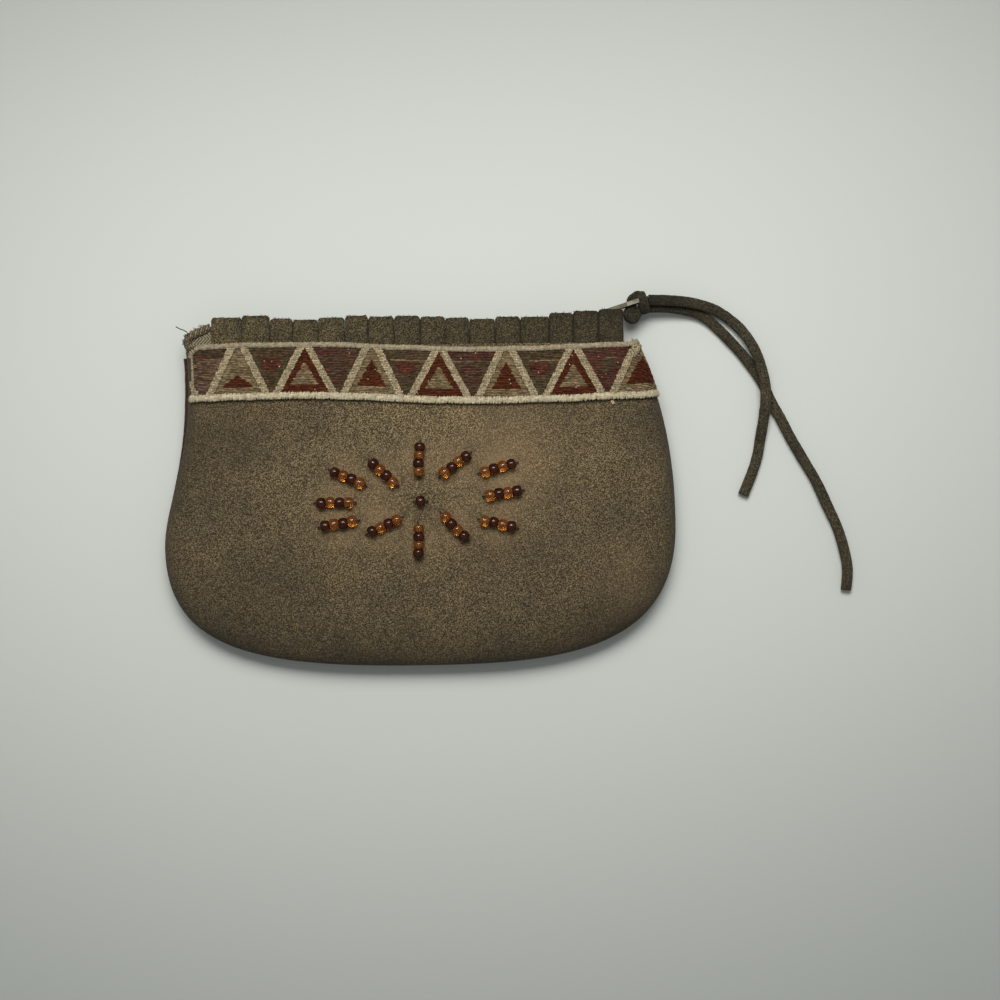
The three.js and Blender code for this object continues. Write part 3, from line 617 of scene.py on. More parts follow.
def sectionAt(row, rows, far, roll):  # how far in from the edge, how far up its roll, how far down its fold
    look = panelLook
    fold = purseForm["fold"]
    if row <= look["face"]:
        return far - (far - roll) * row / look["face"], 1.0, 0.0
    if row <= look["face"] + look["roll"]:
        angle = math.pi / 2 * (1 - (row - look["face"]) / look["roll"])
        return roll * (1 - math.cos(angle)), math.sin(angle), 0.0
    if row <= rows - look["lip"]:
        angle = math.pi / 2 * (row - look["face"] - look["roll"]) / look["fold"]
        return fold * (1 - math.cos(angle)), 0.0, fold * math.sin(angle)
    share = (row - rows + look["lip"]) / look["lip"]
    return fold + (purseForm["turnIn"] - fold) * share, 0.0, fold


def panelMesh(heightOf, faceUp):
    look = panelLook
    top = purseForm["topEdge"]
    rows = look["face"] + look["roll"] + look["fold"] + look["lip"]
    bm = newGrid(look["steps"], rows)
    grimeAndShade = bm.verts.layers.float.new("grimeAndShade")
    rub = bm.verts.layers.float.new("rub")
    edge = purseOutline(look["steps"] + 1)
    rowPlaces = [(x, y) for x, y, turn in beadLook["rows"].values()]
    holes = needleHoles() if faceUp else []
    holeDepth, holeRadius, holeShade = look["hole"]
    topReach, moreBelow = look["edgeWearAndShade"]
    middleWide, middleY, middleHigh = look["paleMiddle"]
    outerDirtAndShade, wearAndShadePart, mostGrimeAndShade = look["grimeAndShade"]
    rowRub, rowReach, mostRub = look["rub"]
    for vert in bm.verts:
        spotX, spotY = edge[round((vert.co.x + 0.5) * look["steps"])]
        row = round((vert.co.y + 0.5) * rows)
        far = math.hypot(spotX, spotY - top)
        inset, rounded, under = sectionAt(row, rows, far, rollAt(spotY))
        share = (far - inset) / far
        x = spotX * share
        y = top + (spotY - top) * share
        z = heightOf(x, y, share, rounded, under)
        # darker along the rolled edge, in a band that widens towards the bottom: partly wear, partly painted
        # shade where the roll turns from the light
        wearAndShade = math.exp(-inset / (topReach + moreBelow * depthBelowMouth(spotY)))
        # each needle hole is a dimple, darkened round it with painted shade
        for holeX, holeY in holes:
            near = math.exp(-((x - holeX) ** 2 + (y - holeY) ** 2) / (2 * holeRadius ** 2))
            if near > 0.02:
                z -= holeDepth * near
                wearAndShade = max(wearAndShade, holeShade * near ** 2)
        vert.co = (x, y, z)
        # darker away from a pale middle: partly dirt, partly painted shade where the crowned front curves
        # from the light
        outer = 1 - math.exp(-(x / middleWide) ** 2 - ((y - middleY) / middleHigh) ** 2)
        darkArea = 0.0
        pale = 0.0
        if faceUp:
            nearRow = min(math.hypot(x - rowX, y - rowY) for rowX, rowY in rowPlaces)
            darkArea = softArea(x, y, look["darkening"])
            pale = rowRub * math.exp(-(nearRow / rowReach) ** 2) + softArea(x, y, look["paleAreas"])
        vert[grimeAndShade] = min(mostGrimeAndShade, outerDirtAndShade * outer + wearAndShadePart * wearAndShade + darkArea)
        vert[rub] = min(mostRub, pale)
    bmesh.ops.remove_doubles(bm, verts=bm.verts, dist=1e-5)
    bmesh.ops.recalc_face_normals(bm, faces=bm.faces)
    middle = min(bm.faces, key=lambda face: face.calc_center_median().xy.length)
    if (middle.normal.z > 0) != faceUp:
        bmesh.ops.reverse_faces(bm, faces=bm.faces)
    return bm


def frontSection(x, y, share, rounded, under):
    form = purseForm
    base = form["seam"] + form["gap"] + form["fold"]
    high = form["mouth"] + 4 * form["crown"] * depthBelowMouth(y) * (1 - share) + float(dents(x, y))
    return base + (high - base) * rounded - under


def backSection(x, y, share, rounded, under):
    form = purseForm
    base = form["seam"] - form["gap"] - form["fold"]
    high, alongX, startX, alongY = panelLook["backWave"]
    wave = high * (1 + math.sin(alongX * x + startX) * math.sin(alongY * y))
    return base + (wave * min(1.0, (1 - share) * panelLook["backFlat"]) - base) * rounded + under


def raiseBrim(bm):  # the back's plain margin over the mouth
    half, low = panelLook["brim"]
    mouth = purseForm["topEdge"] - 0.01
    for rise in panelLook["brimRises"]:
        brim = [edge for edge in bm.edges if edge.is_boundary and all(
            abs(vert.co.x) < half and vert.co.y > mouth and vert.co.z < low for vert in edge.verts)]
        top = max(vert.co.y for edge in brim for vert in edge.verts)
        brim = [edge for edge in brim if min(vert.co.y for vert in edge.verts) > top - 0.01]
        grown = bmesh.ops.extrude_edge_only(bm, edges=brim)["geom"]
        lifted = [part for part in grown if isinstance(part, bmesh.types.BMVert)]
        bmesh.ops.translate(bm, vec=(0, rise, panelLook["brimLean"]), verts=lifted)


def sewPanels():
    front = finishPiece(panelMesh(frontSection, True), "frontPanel", "purse", ["panelSuede"])
    thicken(front, purseForm["skin"], -1)
    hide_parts("front_panel")
    bm = panelMesh(backSection, False)
    raiseBrim(bm)
    back = finishPiece(bm, "backPanel", "purse", ["panelSuede"])
    thicken(back, purseForm["skin"], -1)
    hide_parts("back_panel")


sewPanels()
print("panels sewn")


# Woven trim: a ground cloth, weft threads in the colours of the pattern, and corded borders

trimLook = dict(
    top=37.1, bottom=22.4, leftInset=1.9, rightInset=0.7, cloth=0.7, hem=0.25, topCord=1.6, bottomCord=2.1,
    round=2.2, lift=0.1, sway=(0.65, -8, 17), sink=(0.5, -20, 25),
    tones=(0.62, 1.34), warmth=(0.96, 1.04), cordTones=0.45,
    yarns=dict(
        cream=tint(178, 164, 135), beige=tint(132, 117, 89), rust=tint(84, 41, 20), tan=tint(122, 101, 76),
        olive=tint(82, 70, 48), wine=tint(92, 54, 40), mauve=tint(86, 66, 52), maroon=tint(88, 52, 42),
        border=tint(193, 183, 157), brow=tint(160, 149, 126), dusty=tint(108, 86, 72)),
    mixes=dict(mauve=("mauve", "maroon", "olive", "mauve"), olive=("olive", "olive", "olive", "mauve"),
               maroon=("maroon", "maroon", "mauve"), beige=("beige", "beige", "tan"), tan=("tan", "beige"),
               dusty=("dusty", "mauve", "tan", "dusty")),
)
motifLook = dict(  # triangles in millimetres along the trim and in shares of the woven band's height
    first=-45.6, pitch=16.96, leg=1.95, foot=6.95, redTop=1.05, paleTop=1.65, legStray=0.9, heartStray=0.8,
    redHeart=(0.15, 0.68, 3.6), paleHeart=(0.15, 0.78, 3.6), flatHeart=(0.12, 0.4, 4.2),  # base, peak, half
    stripe=(0.78, 0.815), stripeWave=0.13, stripeSeed=7.3, stripeOver=0.05, dustyBelow=0.8,
    wineSpot=(2.6, 0.64, 0.18), oliveSpot=(2.0, 0.62, 0.18), lastGap=5, bandFrom=0.82, bandStray=0.26,
)


def trimShift(x):  # the trim was sewn on by hand and waves a little
    sway, swayFrom, swayOver = trimLook["sway"]
    sink, sinkFrom, sinkOver = trimLook["sink"]
    wave = sway * np.sin((x - swayFrom) / swayOver)
    return trimLook["lift"] - wave - sink * np.clip((x - sinkFrom) / sinkOver, 0, 1)


def trimEnds(y):
    look = trimLook
    place = np.minimum(y, purseForm["topEdge"])
    left = np.interp(place, leftRim[:, 1], leftRim[:, 0]) + look["leftInset"]
    turned = np.clip(y - look["top"] + look["round"], 0, look["round"])
    left = left + look["round"] - np.sqrt(look["round"] ** 2 - turned ** 2)
    right = np.interp(place, rightRim[:, 1], rightRim[:, 0]) - look["rightInset"]
    return left, right


def onTrim(x, y, lift, turn=0.0, aside=0.0):
    return frontFrame(x, y + float(trimShift(x)) + aside, trimLook["cloth"] + lift, turn)


def yarnAt(x, y, stray=0.0):  # the yarn that shows at a place, with its boundary moved along by the stray
    look = motifLook
    low = trimLook["bottom"] + trimLook["bottomCord"]
    rise = (y - low) / (trimLook["top"] - trimLook["topCord"] - low)
    nearest = round((x - look["first"]) / look["pitch"])
    offset = x - look["first"] - nearest * look["pitch"]
    jag = math.copysign(look["legStray"] * stray, offset)
    offset = abs(offset)
    redOne = nearest % 2 == 1
    narrow = look["redTop"] if redOne else look["paleTop"]
    legX = narrow + (look["foot"] - narrow) * (1 - rise) + jag
    if abs(offset - legX) < look["leg"] / (2 if nearest >= 0 else 4):
        return "cream"
    if offset < legX and nearest < 0:
        return "beige"
    if offset < legX:
        base, peak, half = look["redHeart" if redOne else "flatHeart" if nearest == 0 else "paleHeart"]
        reach = half * (peak - rise) / (peak - base)
        inside = base < rise < peak and offset + look["heartStray"] * stray < reach
        if redOne:
            return "tan" if inside else "rust"
        return "rust" if inside else "beige"
    along = Vector((x * look["stripeWave"], look["stripeSeed"], 0))
    if look["stripe"][0] < rise < look["stripe"][1] and noise.noise(along) > look["stripeOver"]:
        return "tan"
    gap = math.floor((x - look["first"]) / look["pitch"])
    middle = look["first"] + (gap + 0.5) * look["pitch"]

    def within(wide, height, tall):
        return ((x - middle + 2 * stray) / wide) ** 2 + ((rise - height) / tall) ** 2 < 1

    if gap < 0:
        return "dusty" if rise < look["dustyBelow"] else "mauve"
    if gap % 2 == 0:
        return "wine" if within(*look["wineSpot"]) else "olive"
    if gap == look["lastGap"] and within(*look["oliveSpot"]):
        return "olive"
    if rise > look["bandFrom"] and abs(stray) < look["bandStray"]:
        return "maroon"
    return "maroon" if gap == look["lastGap"] else "mauve"


def layStitches(name, stitches):  # short floats of yarn, each a stretched ball in its own colour
    look = trimLook
    onSide = Matrix.Rotation(math.pi / 2, 4, "Y")
    part = bmesh.new()
    bmesh.ops.create_uvsphere(part, u_segments=6, v_segments=4, radius=0.5, matrix=onSide)
    ball = bpy.data.meshes.new("ball")
    part.to_mesh(ball)
    part.free()
    bm = bmesh.new()
    for place, size, strand in stitches:
        shape = ball.copy()
        shape.transform(place @ Matrix.Diagonal((*size, 1.0)))
        bm.from_mesh(shape)
        bpy.data.meshes.remove(shape)
    layer = bm.verts.layers.float_color.new("yarnColour")
    perBall = len(ball.vertices)
    bpy.data.meshes.remove(ball)
    colours = []
    for place, size, strand in stitches:
        even = look["cordTones"] if strand in ("border", "brow") else 1.0  # the cords are of one smooth yarn
        tone = 1 + even * (dice.uniform(*look["tones"]) - 1)
        warm = dice.uniform(*look["warmth"])
        red, green, blue = look["yarns"][strand][:3]
        colours.append((red * tone * warm, green * tone, blue * tone / warm, 1.0))
    for index, vert in enumerate(bm.verts):
        vert[layer] = colours[index // perBall]
    piece = finishPiece(bm, name, "purse", ["trimYarn"])
    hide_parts("woven_trim")


def trimRow(y):  # places along one row, with the length of thread up to each
    left, right = trimEnds(y + float(trimShift(0.0)))
    xs = np.linspace(float(left), float(right), 900)
    zs = frontHeight(xs, y + trimShift(xs))
    along = np.concatenate([[0], np.cumsum(np.hypot(np.diff(xs), np.diff(zs)))])
    return xs, along


groundLook = dict(
    row=0.42, inset=0.8, stray=0.3, wobble=0.04, turn=3, lift=0.16, longer=1.16, high=0.42,
    plain=((0.9, 2.0), 0.0, 0.25, 1.2), leg=((0.42, 0.7), 0.3, 0.08, 1.35),  # floats, raised, spill, width
    specks=90, speckSpan=(-57, 54), speckLift=0.36, speckSize=(0.42, 0.36, 0.3))


def weaveGround():
    look = groundLook
    stitches = []
    low = trimLook["bottom"] + trimLook["bottomCord"] * look["inset"]
    high = trimLook["top"] - trimLook["topCord"] * look["inset"]
    rows = round((high - low) / look["row"])
    for r in range(rows):
        y = low + (r + 0.5) * (high - low) / rows
        xs, along = trimRow(y)
        stray = eitherWay(look["stray"])
        names = [yarnAt(x, y, stray) for x in xs]
        start = 0
        while start < len(xs) - 1:
            end = start
            floats, raised, spill, wide = look["leg" if names[start] == "cream" else "plain"]
            reach = along[start] + dice.uniform(*floats)
            while end < len(xs) - 1 and names[end + 1] == names[start] and along[end + 1] < reach:
                end += 1
            end = max(end, start + 1)
            x = float(np.interp((along[start] + along[end]) / 2, along, xs))
            name = dice.choice(trimLook["mixes"].get(names[start], (names[start],)))
            wobble = eitherWay(look["wobble"])
            turn = math.radians(eitherWay(look["turn"]))
            length = (along[end] - along[start]) * look["longer"] + spill
            size = (length, look["row"] * wide, look["high"] + raised)
            stitches.append((onTrim(x, y, look["lift"] + raised, turn, wobble), size, name))
            start = end
    for speck in range(look["specks"]):  # pale knots of the warp between the red threads
        x = dice.uniform(*look["speckSpan"])
        y = dice.uniform(low, high)
        if yarnAt(x, y) in ("wine", "maroon", "rust"):
            stitches.append((onTrim(x, y, look["speckLift"]), look["speckSize"], "cream"))
    layStitches("trimWeft", stitches)


cordLook = dict(
    stitch=0.36, endTrim=1.0, slants=dict(border=74, brow=76), slantBy=22, wander=(0.16, 0.22), lift=0.38,
    widths=(0.94, 1.08), fat=2.3, high=0.95,
    bendIn=0.2, bendSteps=8, bendBy=12, bendLift=0.36, bendSlant=66, bendSize=(0.95, 1.7, 0.9),
    sideSteps=26, sideIn=0.45, sideLift=0.22, swing=(18, 5.0), sideWidth=(0.7, 0.5), sideFat=1.9,
    sideHigh=0.6, looseEnds=[("cream", 49.2, 21.6, 0.5), ("brow", 54.8, 37.3, 0.9)], strands=9,
    strandRise=0.4, strandLift=0.5, strandTurn=(-130, -20), strandLength=(0.6, 1.1), strandThick=0.3)


def cordBorders():
    look = cordLook
    stitch = look["stitch"]
    lowY = trimLook["bottom"] + trimLook["bottomCord"] / 2
    highY = trimLook["top"] - trimLook["topCord"] / 2
    bend = trimLook["round"]
    bendY = highY - bend
    bendX = float(trimEnds(bendY)[0]) + bend + look["bendIn"]
    wander, waves = look["wander"]
    stitches = []
    for y, wide, name in ((lowY, trimLook["bottomCord"], "border"), (highY, trimLook["topCord"], "brow")):
        xs, along = trimRow(y)
        reach = along[-1] - look["endTrim"]
        count = int(reach / stitch)
        for step in range(count + 1):
            x = float(np.interp(step * reach / count, along, xs))
            if name == "brow" and x < bendX:
                continue
            aside = wander * noise.noise(Vector((x * waves, y, 0)))
            turn = math.radians(look["slants"][name] + eitherWay(look["slantBy"]))
            size = (wide * dice.uniform(*look["widths"]), stitch * look["fat"], look["high"])
            stitches.append((onTrim(x, y, look["lift"], turn, aside), size, name))
    wide, fat, high = look["bendSize"]
    for step in range(look["bendSteps"]):  # the upper border turns down at its left end
        angle = math.radians(look["bendBy"] * step)
        place = onTrim(bendX - bend * math.cos(angle), bendY + bend * math.sin(angle), look["bendLift"],
                       math.radians(look["bendSlant"]) + math.pi / 2 - angle)
        stitches.append((place, (trimLook["topCord"] * wide, stitch * fat, high), "brow"))
    swing, pace = look["swing"]
    wide, wider = look["sideWidth"]
    for step in range(look["sideSteps"]):  # its cut end is whipped thinly down to the lower border
        share = step / (look["sideSteps"] - 1)
        y = bendY + (lowY - bendY) * share
        turn = math.radians(swing * math.sin(pace * step))
        place = onTrim(float(trimEnds(y)[0]) + look["sideIn"], y, look["sideLift"], turn)
        stitches.append((place, (wide + wider * share, stitch * look["sideFat"], look["sideHigh"]), "brow"))
    for name, x, y, reach in look["looseEnds"]:
        for strand in range(look["strands"]):  # loose ends of the cut ribbon
            place = frontFrame(x + eitherWay(reach), y + eitherWay(look["strandRise"]), look["strandLift"],
                               math.radians(dice.uniform(*look["strandTurn"])))
            size = (dice.uniform(*look["strandLength"]), look["strandThick"], look["strandThick"])
            stitches.append((place, size, name))
    layStitches("trimCords", stitches)


edgeLook = dict(low=-2.0, high=34.2, steps=40, inset=0.2, rise=5.3, width=2.0, height=2.3, taper=0.8,
                taperFrom=0.35, grimeAndShade=0.15)


def turnEdge():  # a strip of the seam that shows beside the trim's left end; its dark colour is partly painted shade, for the edge lies in shadow
    look = edgeLook
    line = []
    for step in range(look["steps"]):
        y = look["high"] + (look["low"] - look["high"]) * step / (look["steps"] - 1)
        x = float(np.interp(y, leftRim[:, 1], leftRim[:, 0])) + look["inset"]
        line.append(Vector((x, y, look["rise"])))

    def narrowing(share):
        return 1.0 - look["taper"] * max(0.0, share - look["taperFrom"]) / (1 - look["taperFrom"])

    bm = bmesh.new()
    laceAlong(bm, line, look["width"], look["height"], swell=narrowing)
    napEdges(bm, amount=0.08, seed=2.0)
    addGrimeAndShade(bm, lambda co: look["grimeAndShade"])
    finishPiece(bm, "turnedEdge", "purse", ["edgeSuede"])


def layTrimCloth():
    look = trimLook
    bm = newGrid(320, 28)
    layer = bm.verts.layers.float_color.new("yarnColour")
    low = look["bottom"] + look["hem"]
    high = look["top"] - look["hem"]
    for vert in bm.verts:
        y = low + (high - low) * (vert.co.y + 0.5)
        left, right = trimEnds(y)
        x = float(left) + float(right - left) * (1 - math.cos(math.pi * (vert.co.x + 0.5))) / 2
        vert.co = onTrim(x, y, 0.0).to_translation()
        vert[layer] = look["yarns"][yarnAt(x, y)]
    bmesh.ops.recalc_face_normals(bm, faces=bm.faces)
    cloth = finishPiece(bm, "trimCloth", "purse", ["trimYarn"])
    thicken(cloth, look["cloth"] - 0.1, -1)
    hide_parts("woven_trim")


turnEdge()
layTrimCloth()
weaveGround()
cordBorders()
print("trim woven")


# Fringe: a strip of darker suede cut into tabs

fringeLook = dict(
    root=31.8, slitFrom=36.0, back=8.6, thickness=1.05, corner=0.85, slit=(0.02, 0.12, 0.38, 5),
    edges=[-52.2, -44.5, -37.4, -31.6, -25.2, -18.4, -12.5, -5.9, 0.7,
           7.0, 13.1, 19.7, 26.1, 33.4, 39.5, 45.9, 52.2],
    tops=[44.3, 44.7, 43.9, 43.5, 44.0, 44.4, 44.1, 44.2, 43.9, 43.6, 43.2, 43.7, 43.6, 44.5, 44.9, 45.3],
    lean=(-0.12, 0.7), cup=(-0.1, 0.22), free=(8, 1.6), ragged=(0.2, 1.1, 3.1), bevel=(0.2, 50),
    tipDeep=0.35, tipFibres=22, tipLength=(0.15, 0.5), tipThick=0.09, tipAside=0.2, tipSunk=0.12,
    cutShade=(0.5, 0.3), tipDarkening=(0.2, 43.4, 1.4), sideDarkening=(0.1, 0.51, -52, 104), darkestLevel=0.95,
)


def raiseNap(bm, root, length):  # one fibre that stands up from a cut edge
    lean = Vector((eitherWay(0.6), dice.uniform(0.35, 1.0), dice.uniform(-0.5, 0.7))).normalized()
    curl = Vector((eitherWay(0.3), 0, eitherWay(0.3))) * length
    part = bmesh.new()
    thick = fringeLook["tipThick"]
    fibre = [root, root + lean * length * 0.6, root + lean * length + curl]
    laceAlong(part, fibre, thick, thick, sides=4, square=1.0)
    addInto(bm, part)


def cutTab(tab, lean, cup):
    look = fringeLook
    left, right = look["edges"][tab], look["edges"][tab + 1]
    half = (right - left) / 2
    corner = look["corner"]
    slit, always, parting, slitOver = look["slit"]
    ragged, ragWave, ragSeed = look["ragged"]
    freeOver, curve = look["free"]
    part = newGrid(18, 22)
    for vert in part.verts:
        across = math.sin(vert.co.x * math.pi)
        past = max(0.0, abs(across) * half - (half - corner)) / corner
        drop = corner * (1 - math.sqrt(max(0.0, 1 - past * past)))
        rag = ragged * noise.noise(Vector((across * half * ragWave + 7 * tab, ragSeed, 0)))
        y = look["root"] + (vert.co.y + 0.5) * (look["tops"][tab] - drop + rag - look["root"])
        parted = min(1.0, max(0.0, (y - look["slitFrom"]) / slitOver))
        x = (left + right) / 2 + across * (half - slit * (always + parting * parted))
        free = max(0.0, (y - look["slitFrom"]) / freeOver)
        vert.co = (x, y, look["back"] + lean * free ** curve + cup * free * across * across)
    bmesh.ops.recalc_face_normals(part, faces=part.faces)
    if next(iter(part.faces)).normal.z < 0:
        bmesh.ops.reverse_faces(part, faces=part.faces)
    bmesh.ops.solidify(part, geom=part.faces[:], thickness=-look["thickness"])
    bmesh.ops.recalc_face_normals(part, faces=part.faces)
    return part


def cutFringe():
    look = fringeLook
    edges = np.array(look["edges"])
    bm = bmesh.new()
    nap = bmesh.new()
    for tab, top in enumerate(look["tops"]):
        lean = dice.uniform(*look["lean"])
        cup = dice.uniform(*look["cup"])
        part = cutTab(tab, lean, cup)
        tips = [vert.co.copy() for vert in part.verts if vert.co.y > top - look["tipDeep"]]
        addInto(bm, part)
        for fibre in range(look["tipFibres"]):
            root = dice.choice(tips) + Vector((eitherWay(look["tipAside"]), -look["tipSunk"], 0))
            raiseNap(nap, root, dice.uniform(*look["tipLength"]))

    def darkening(co):  # darker at the tips and more so to the right, with painted shade along the cuts between the tabs
        cut, cutReach = look["cutShade"]
        tip, tipFrom, tipOver = look["tipDarkening"]
        side, more, sideFrom, sideOver = look["sideDarkening"]
        level = side + more * (co.x - sideFrom) / sideOver
        level += cut * math.exp(-float(np.abs(edges - co.x).min()) / cutReach)
        level += tip * max(0.0, min(1.0, (co.y - tipFrom) / tipOver))
        return min(look["darkestLevel"], level)

    addGrimeAndShade(bm, darkening)
    fringe = finishPiece(bm, "fringeTabs", "purse", ["fringeSuede"])
    softenEdges(fringe, *look["bevel"])
    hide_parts("fringe_strip")
    addGrimeAndShade(nap, darkening)
    finishPiece(nap, "fringeNap", "purse", ["fringeSuede"])


cutFringe()
print("fringe cut")


# Zipper: two woven tapes with their teeth, and the plated pieces

zipLook = dict(
    half=52.3, chainY=40.0, chainZ=4.9, leaf=3.15, drop=9.0, inner=1.0, bend=0.8, tape=0.42, ripple=0.07,
    pitch=2.4, first=-47.9, last=41.3, toothRoot=1.7, toothReach=0.7, toothHigh=2.0, toothWide=1.0,
    headWide=0.62, headHigh=0.86, toothBevel=0.2, parted=0.4, weld=0.005, bevel=(0.12, 35),
    plated=("zipper_bottom_stop", "zipper_top_stop_front", "zipper_top_stop_back", "zipper_slider",
            "zipper_pull"),
)


def mappedCloth(columns, rows, shape):  # a grid bent to a shape, with a map of its own in millimetres
    bm = newGrid(columns, rows)
    laid = bm.loops.layers.uv.new("laid")
    flat = {}
    for vert in bm.verts:
        flat[vert], vert.co = shape(vert.co.x + 0.5, vert.co.y + 0.5)
    for face in bm.faces:
        for loop in face.loops:
            loop[laid].uv = flat[loop.vert]
    bmesh.ops.recalc_face_normals(bm, faces=bm.faces)
    return bm


def tapeProfile(share, side):  # from the sewn edge up the leaf, over the bend and in to the teeth
    look = zipLook
    bend = look["bend"]
    leaf = look["drop"] - bend
    turned = leaf + bend * math.pi / 2
    at = share * (turned + look["leaf"] - bend - look["inner"])
    if at < leaf:
        y = look["chainY"] - look["drop"] + at
        out = look["leaf"]
    elif at < turned:
        angle = (at - leaf) / bend
        y = look["chainY"] - bend + bend * math.sin(angle)
        out = look["leaf"] - bend + bend * math.cos(angle)
    else:
        y = look["chainY"]
        out = look["leaf"] - bend - (at - turned)
    return y, look["chainZ"] + side * out, at


def weaveTape(name, node, side):
    look = zipLook

    def shape(along, up):
        x = (2 * along - 1) * look["half"]
        y, z, at = tapeProfile(up, side)
        ripple = look["ripple"] * math.sin(x * 2 * math.pi / look["pitch"] + side)
        return (x, at), (x, y + (ripple if at > look["drop"] - 1 else 0.0), z)

    tape = finishPiece(mappedCloth(150, 26, shape), name, "purse", ["tapeTwill"])
    thicken(tape, look["tape"], 0)
    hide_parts(node)


def clampTeeth(name, node, side, offset):
    look = zipLook
    far = look["chainZ"] + side * look["toothRoot"]
    near = look["chainZ"] - side * look["toothReach"]
    size = (look["toothWide"], look["toothHigh"], abs(far - near))
    bm = bmesh.new()
    x = look["first"] + offset
    while x <= look["last"]:
        place = Matrix.Translation((x, look["chainY"], (far + near) / 2)) @ Matrix.Diagonal((*size, 1))
        verts = bmesh.ops.create_cube(bm, size=1.0, matrix=place)["verts"]
        for vert in verts:
            if (vert.co.z - look["chainZ"]) * side < 0:  # the head is narrower than the root
                vert.co.x = x + (vert.co.x - x) * look["headWide"]
                vert.co.y = look["chainY"] + (vert.co.y - look["chainY"]) * look["headHigh"]
        x += look["pitch"]
    bmesh.ops.bevel(bm, geom=bm.edges[:], offset=look["toothBevel"], offset_type="OFFSET", segments=2,
                    profile=0.5, affect="EDGES", material=-1)
    teeth = finishPiece(bm, name, "purse", ["pewterPlate"])
    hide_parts(node)
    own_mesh(teeth)


def dressMetal():
    for name in zipLook["plated"]:
        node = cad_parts[name]
        node.data.materials.clear()
        node.data.materials.append(finishes["pewterPlate"])
        weld = node.modifiers.new("weld", "WELD")
        weld.merge_threshold = zipLook["weld"] * mm
        softenEdges(node, *zipLook["bevel"])


weaveTape("zipTapeFront", "zipper_tape_front", 1)
weaveTape("zipTapeBack", "zipper_tape_back", -1)
clampTeeth("zipTeethFront", "zipper_tape_front", 1, 0.0)
clampTeeth("zipTeethBack", "zipper_tape_back", -1, zipLook["pitch"] / 2)
dressMetal()
print("zipper fitted")


# Left corner: the tape's end is folded over, and it frays

cornerLook = dict(
    foldX=(-58.9, 8.7), foldY=(35.0, 39.2, 2.3), foldZ=(8.05, 0.18),
    roll=[(-52.6, 41.9, 8.0), (-54.2, 41.2, 8.2), (-55.6, 40.6, 8.4), (-57.0, 40.0, 8.4), (-58.1, 39.2, 8.2),
          (-58.5, 38.1, 7.8), (-58.2, 37.1, 7.2)],
    thick=1.9, core=tint(66, 60, 48), ply=0.42, turns=2.3, wraps=12, plyUneven=0.16, plySunk=0.05,
    plies=[tint(156, 145, 119), tint(92, 84, 67), tint(126, 116, 94), tint(76, 69, 56)],
    fibres=240, fibreThick=0.15, fibreTints=(tint(150, 140, 122), tint(88, 80, 70), tint(62, 60, 56)),
    thread=[(-58.4, 40.7, 8.6), (-59.4, 41.3, 9.0), (-60.3, 41.6, 9.1), (-61.3, 42.2, 9.0)],
    threadThick=0.28, threadTint=tint(62, 64, 62),
)


def foldTapeEnd():
    look = cornerLook

    left, wide = look["foldX"]
    bottom, top, rise = look["foldY"]
    level, wave = look["foldZ"]

    def shape(along, up):
        x = left + wide * along
        y = bottom + (top + rise * along - bottom) * up
        return (x, y), (x, y, level + wave * math.sin(2.2 * along + 1.2 * up))

    tape = finishPiece(mappedCloth(18, 10, shape), "foldedTapeEnd", "purse", ["tapeTwill"])
    thicken(tape, zipLook["tape"], 0)


def layYarn(bm, layer, path, thick, sides, square, colour):
    before = len(bm.verts)
    laceAlong(bm, path, thick, thick, sides=sides, square=square)
    bm.verts.ensure_lookup_table()
    for vert in bm.verts[before:]:
        vert[layer] = colour


def fraysAtCorner():
    look = cornerLook
    bm = bmesh.new()
    layer = bm.verts.layers.float_color.new("yarnColour")
    path = smoothPath(look["roll"], 6)
    layYarn(bm, layer, path, look["thick"], 14, 0.9, look["core"])
    frames = laceFrames(path)
    for wrap in range(look["wraps"]):  # twisted plies round the rolled cloth
        line = []
        for i, place in enumerate(frames):
            angle = 2 * math.pi * (look["turns"] * i / len(frames) + wrap / look["wraps"])
            out = 0.5 * look["thick"] + look["plyUneven"] * math.sin(2.3 * i + 1.7 * wrap) - look["plySunk"]
            line.append(place @ Vector((out * math.cos(angle), out * math.sin(angle), 0)))
        layYarn(bm, layer, line, look["ply"], 5, 1.0, look["plies"][wrap % len(look["plies"])])
    for fibre in range(look["fibres"]):
        start = dice.choice(path[4:])
        along = Vector((dice.uniform(-1, 0.6), dice.uniform(-0.5, 1), dice.uniform(0, 0.9)))
        first = start + along * 0.7
        last = first + along * dice.uniform(0.3, 0.8)
        bend = (first + last) / 2 + Vector((eitherWay(0.3), eitherWay(0.3), 0.1))
        colour = dice.choice(look["fibreTints"])
        layYarn(bm, layer, smoothPath([first, bend, last], 3), look["fibreThick"], 4, 1.0, colour)
    layYarn(bm, layer, smoothPath(look["thread"], 5), look["threadThick"], 6, 1.0, look["threadTint"])
    finishPiece(bm, "frayedTapeEnd", "purse", ["trimYarn"])


foldTapeEnd()
fraysAtCorner()
print("tape end folded")


# Bead rows, sewn along the places above

def beadShape():
    look = beadLook
    bm = bmesh.new()
    half = look["length"] / 2
    profile = [(-along * half, look["bore"] + out) for along, out in look["mouth"]]
    profile += [(-along * half, across * look["radius"]) for along, across in look["flank"]]
    profile += [(-along, across) for along, across in reversed(profile[:-1])]
    verts = [bm.verts.new((along, 0, across)) for along, across in profile]
    edges = [bm.edges.new(pair) for pair in zip(verts, verts[1:] + verts[:1])]
    bmesh.ops.spin(bm, geom=verts + edges, cent=(0, 0, 0), axis=(1, 0, 0), angle=2 * math.pi,
                   steps=look["steps"], use_merge=True)
    bmesh.ops.recalc_face_normals(bm, faces=bm.faces)
    return bm


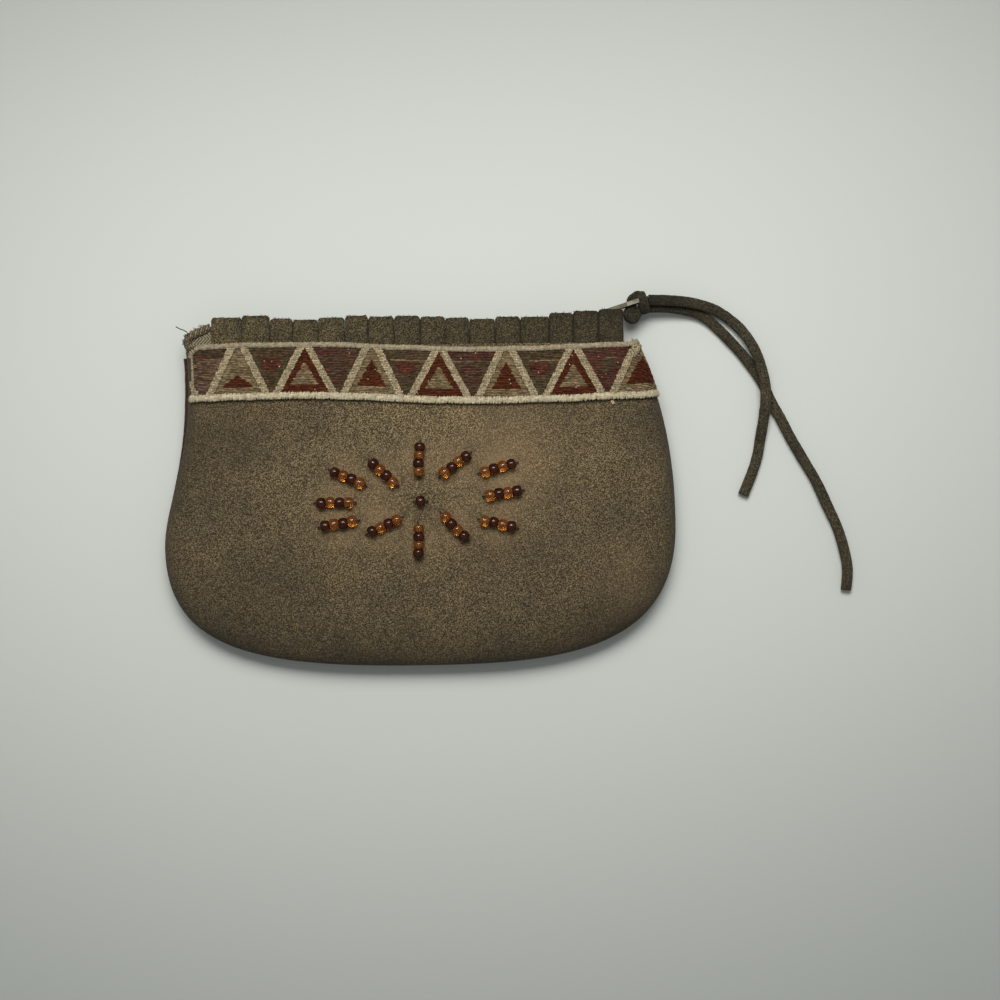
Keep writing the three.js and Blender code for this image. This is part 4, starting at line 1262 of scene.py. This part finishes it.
def threadThrough(bm, reach):
    part = bmesh.new()
    thick = 2 * beadLook["thread"]
    sink = beadLook["sink"]
    down = [(inward - reach, 0, -share * sink - more) for inward, share, more in beadLook["dip"]]
    points = down + [(0, 0, 0)] + [(-x, y, z) for x, y, z in reversed(down)]
    laceAlong(part, smoothPath(points, 4), thick, thick, sides=8, square=1.0)
    addInto(bm, part, finishIndex=2)


def sewRow(name, node, x, y, turn, glasses, slot):
    look = beadLook
    pitch = rowPitch(turn)
    bm = bmesh.new()
    for index, glass in enumerate(glasses):
        along = (index - (len(glasses) - 1) / 2) * pitch
        size = dice.uniform(*look["sizes"])
        tilt = Matrix.Rotation(math.radians(eitherWay(look["lean"])), 4, "Z")
        shift = Matrix.Translation((along, eitherWay(look["aside"]), dice.uniform(*look["lift"])))
        spin = Matrix.Rotation(dice.uniform(0, look["spin"]), 4, "X")
        length = Matrix.Diagonal((size * pitch / look["pitch"], size, size, 1.0))
        addInto(bm, beadShape(), shift @ tilt @ spin @ length, glass)
    threadThrough(bm, len(glasses) * pitch / 2 + look["reach"])
    bmesh.ops.transform(bm, matrix=frontFrame(x, y, look["sink"], math.radians(turn)), verts=bm.verts)
    row = finishPiece(bm, name, "purse", ["amberGlass", "brownGlass", "beadThread"])
    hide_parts(node)


for rowName, (rowX, rowY, rowTurn) in beadLook["rows"].items():
    sewRow(rowName, "bead_row_" + rowName[-2:], rowX, rowY, rowTurn, [0, 1, 0, 1], "amber_beads")
sewRow("centreBead", "centre_bead", *beadLook["centre"], 0, [1], "dark_bead")
print("beads sewn")


# Table and light

stageLook = dict(
    table=tint(191, 195, 189), tableRough=0.7, tableHalf=3.0, tableSunk=0.0001,
    key=0.322, keyPlace=(0.0, 0.20, 0.36), keyAim=(0.01, 0.02, 0.0), keyWide=0.46, keyDeep=0.2, keySpread=56,
    keyColour=(1.0, 0.99, 0.97), sky=0.32, skyColour=(0.97, 1.0, 0.99, 1.0))


def layTable():
    look = stageLook
    bm = bmesh.new()
    bmesh.ops.create_grid(bm, x_segments=1, y_segments=1, size=look["tableHalf"])
    bmesh.ops.translate(bm, vec=(0, 0, -look["tableSunk"]), verts=bm.verts)
    mesh = bpy.data.meshes.new("table")
    bm.to_mesh(mesh)
    bm.free()
    table = bpy.data.objects.new("table", mesh)
    scene.collection.objects.link(table)
    mesh.materials.append(newFinish("tableTop", Roughness=look["tableRough"], Base_Color=look["table"])[0])


def lightRoom():
    look = stageLook
    lamp = bpy.data.lights.new("window", "AREA")
    lamp.energy = look["key"]
    lamp.shape = "ELLIPSE"
    lamp.size = look["keyWide"]
    lamp.size_y = look["keyDeep"]
    lamp.color = look["keyColour"]
    lamp.spread = math.radians(look["keySpread"])
    window = bpy.data.objects.new("window", lamp)
    scene.collection.objects.link(window)
    window.location = look["keyPlace"]
    aim = Vector(look["keyAim"]) - Vector(look["keyPlace"])
    window.rotation_euler = aim.to_track_quat("-Z", "Y").to_euler()
    world = bpy.data.worlds.new("room")
    scene.world = world
    world.use_nodes = True
    sky = world.node_tree.nodes["Background"]
    sky.inputs["Color"].default_value = look["skyColour"]
    sky.inputs["Strength"].default_value = look["sky"]


layTable()
lightRoom()
print("stage set")
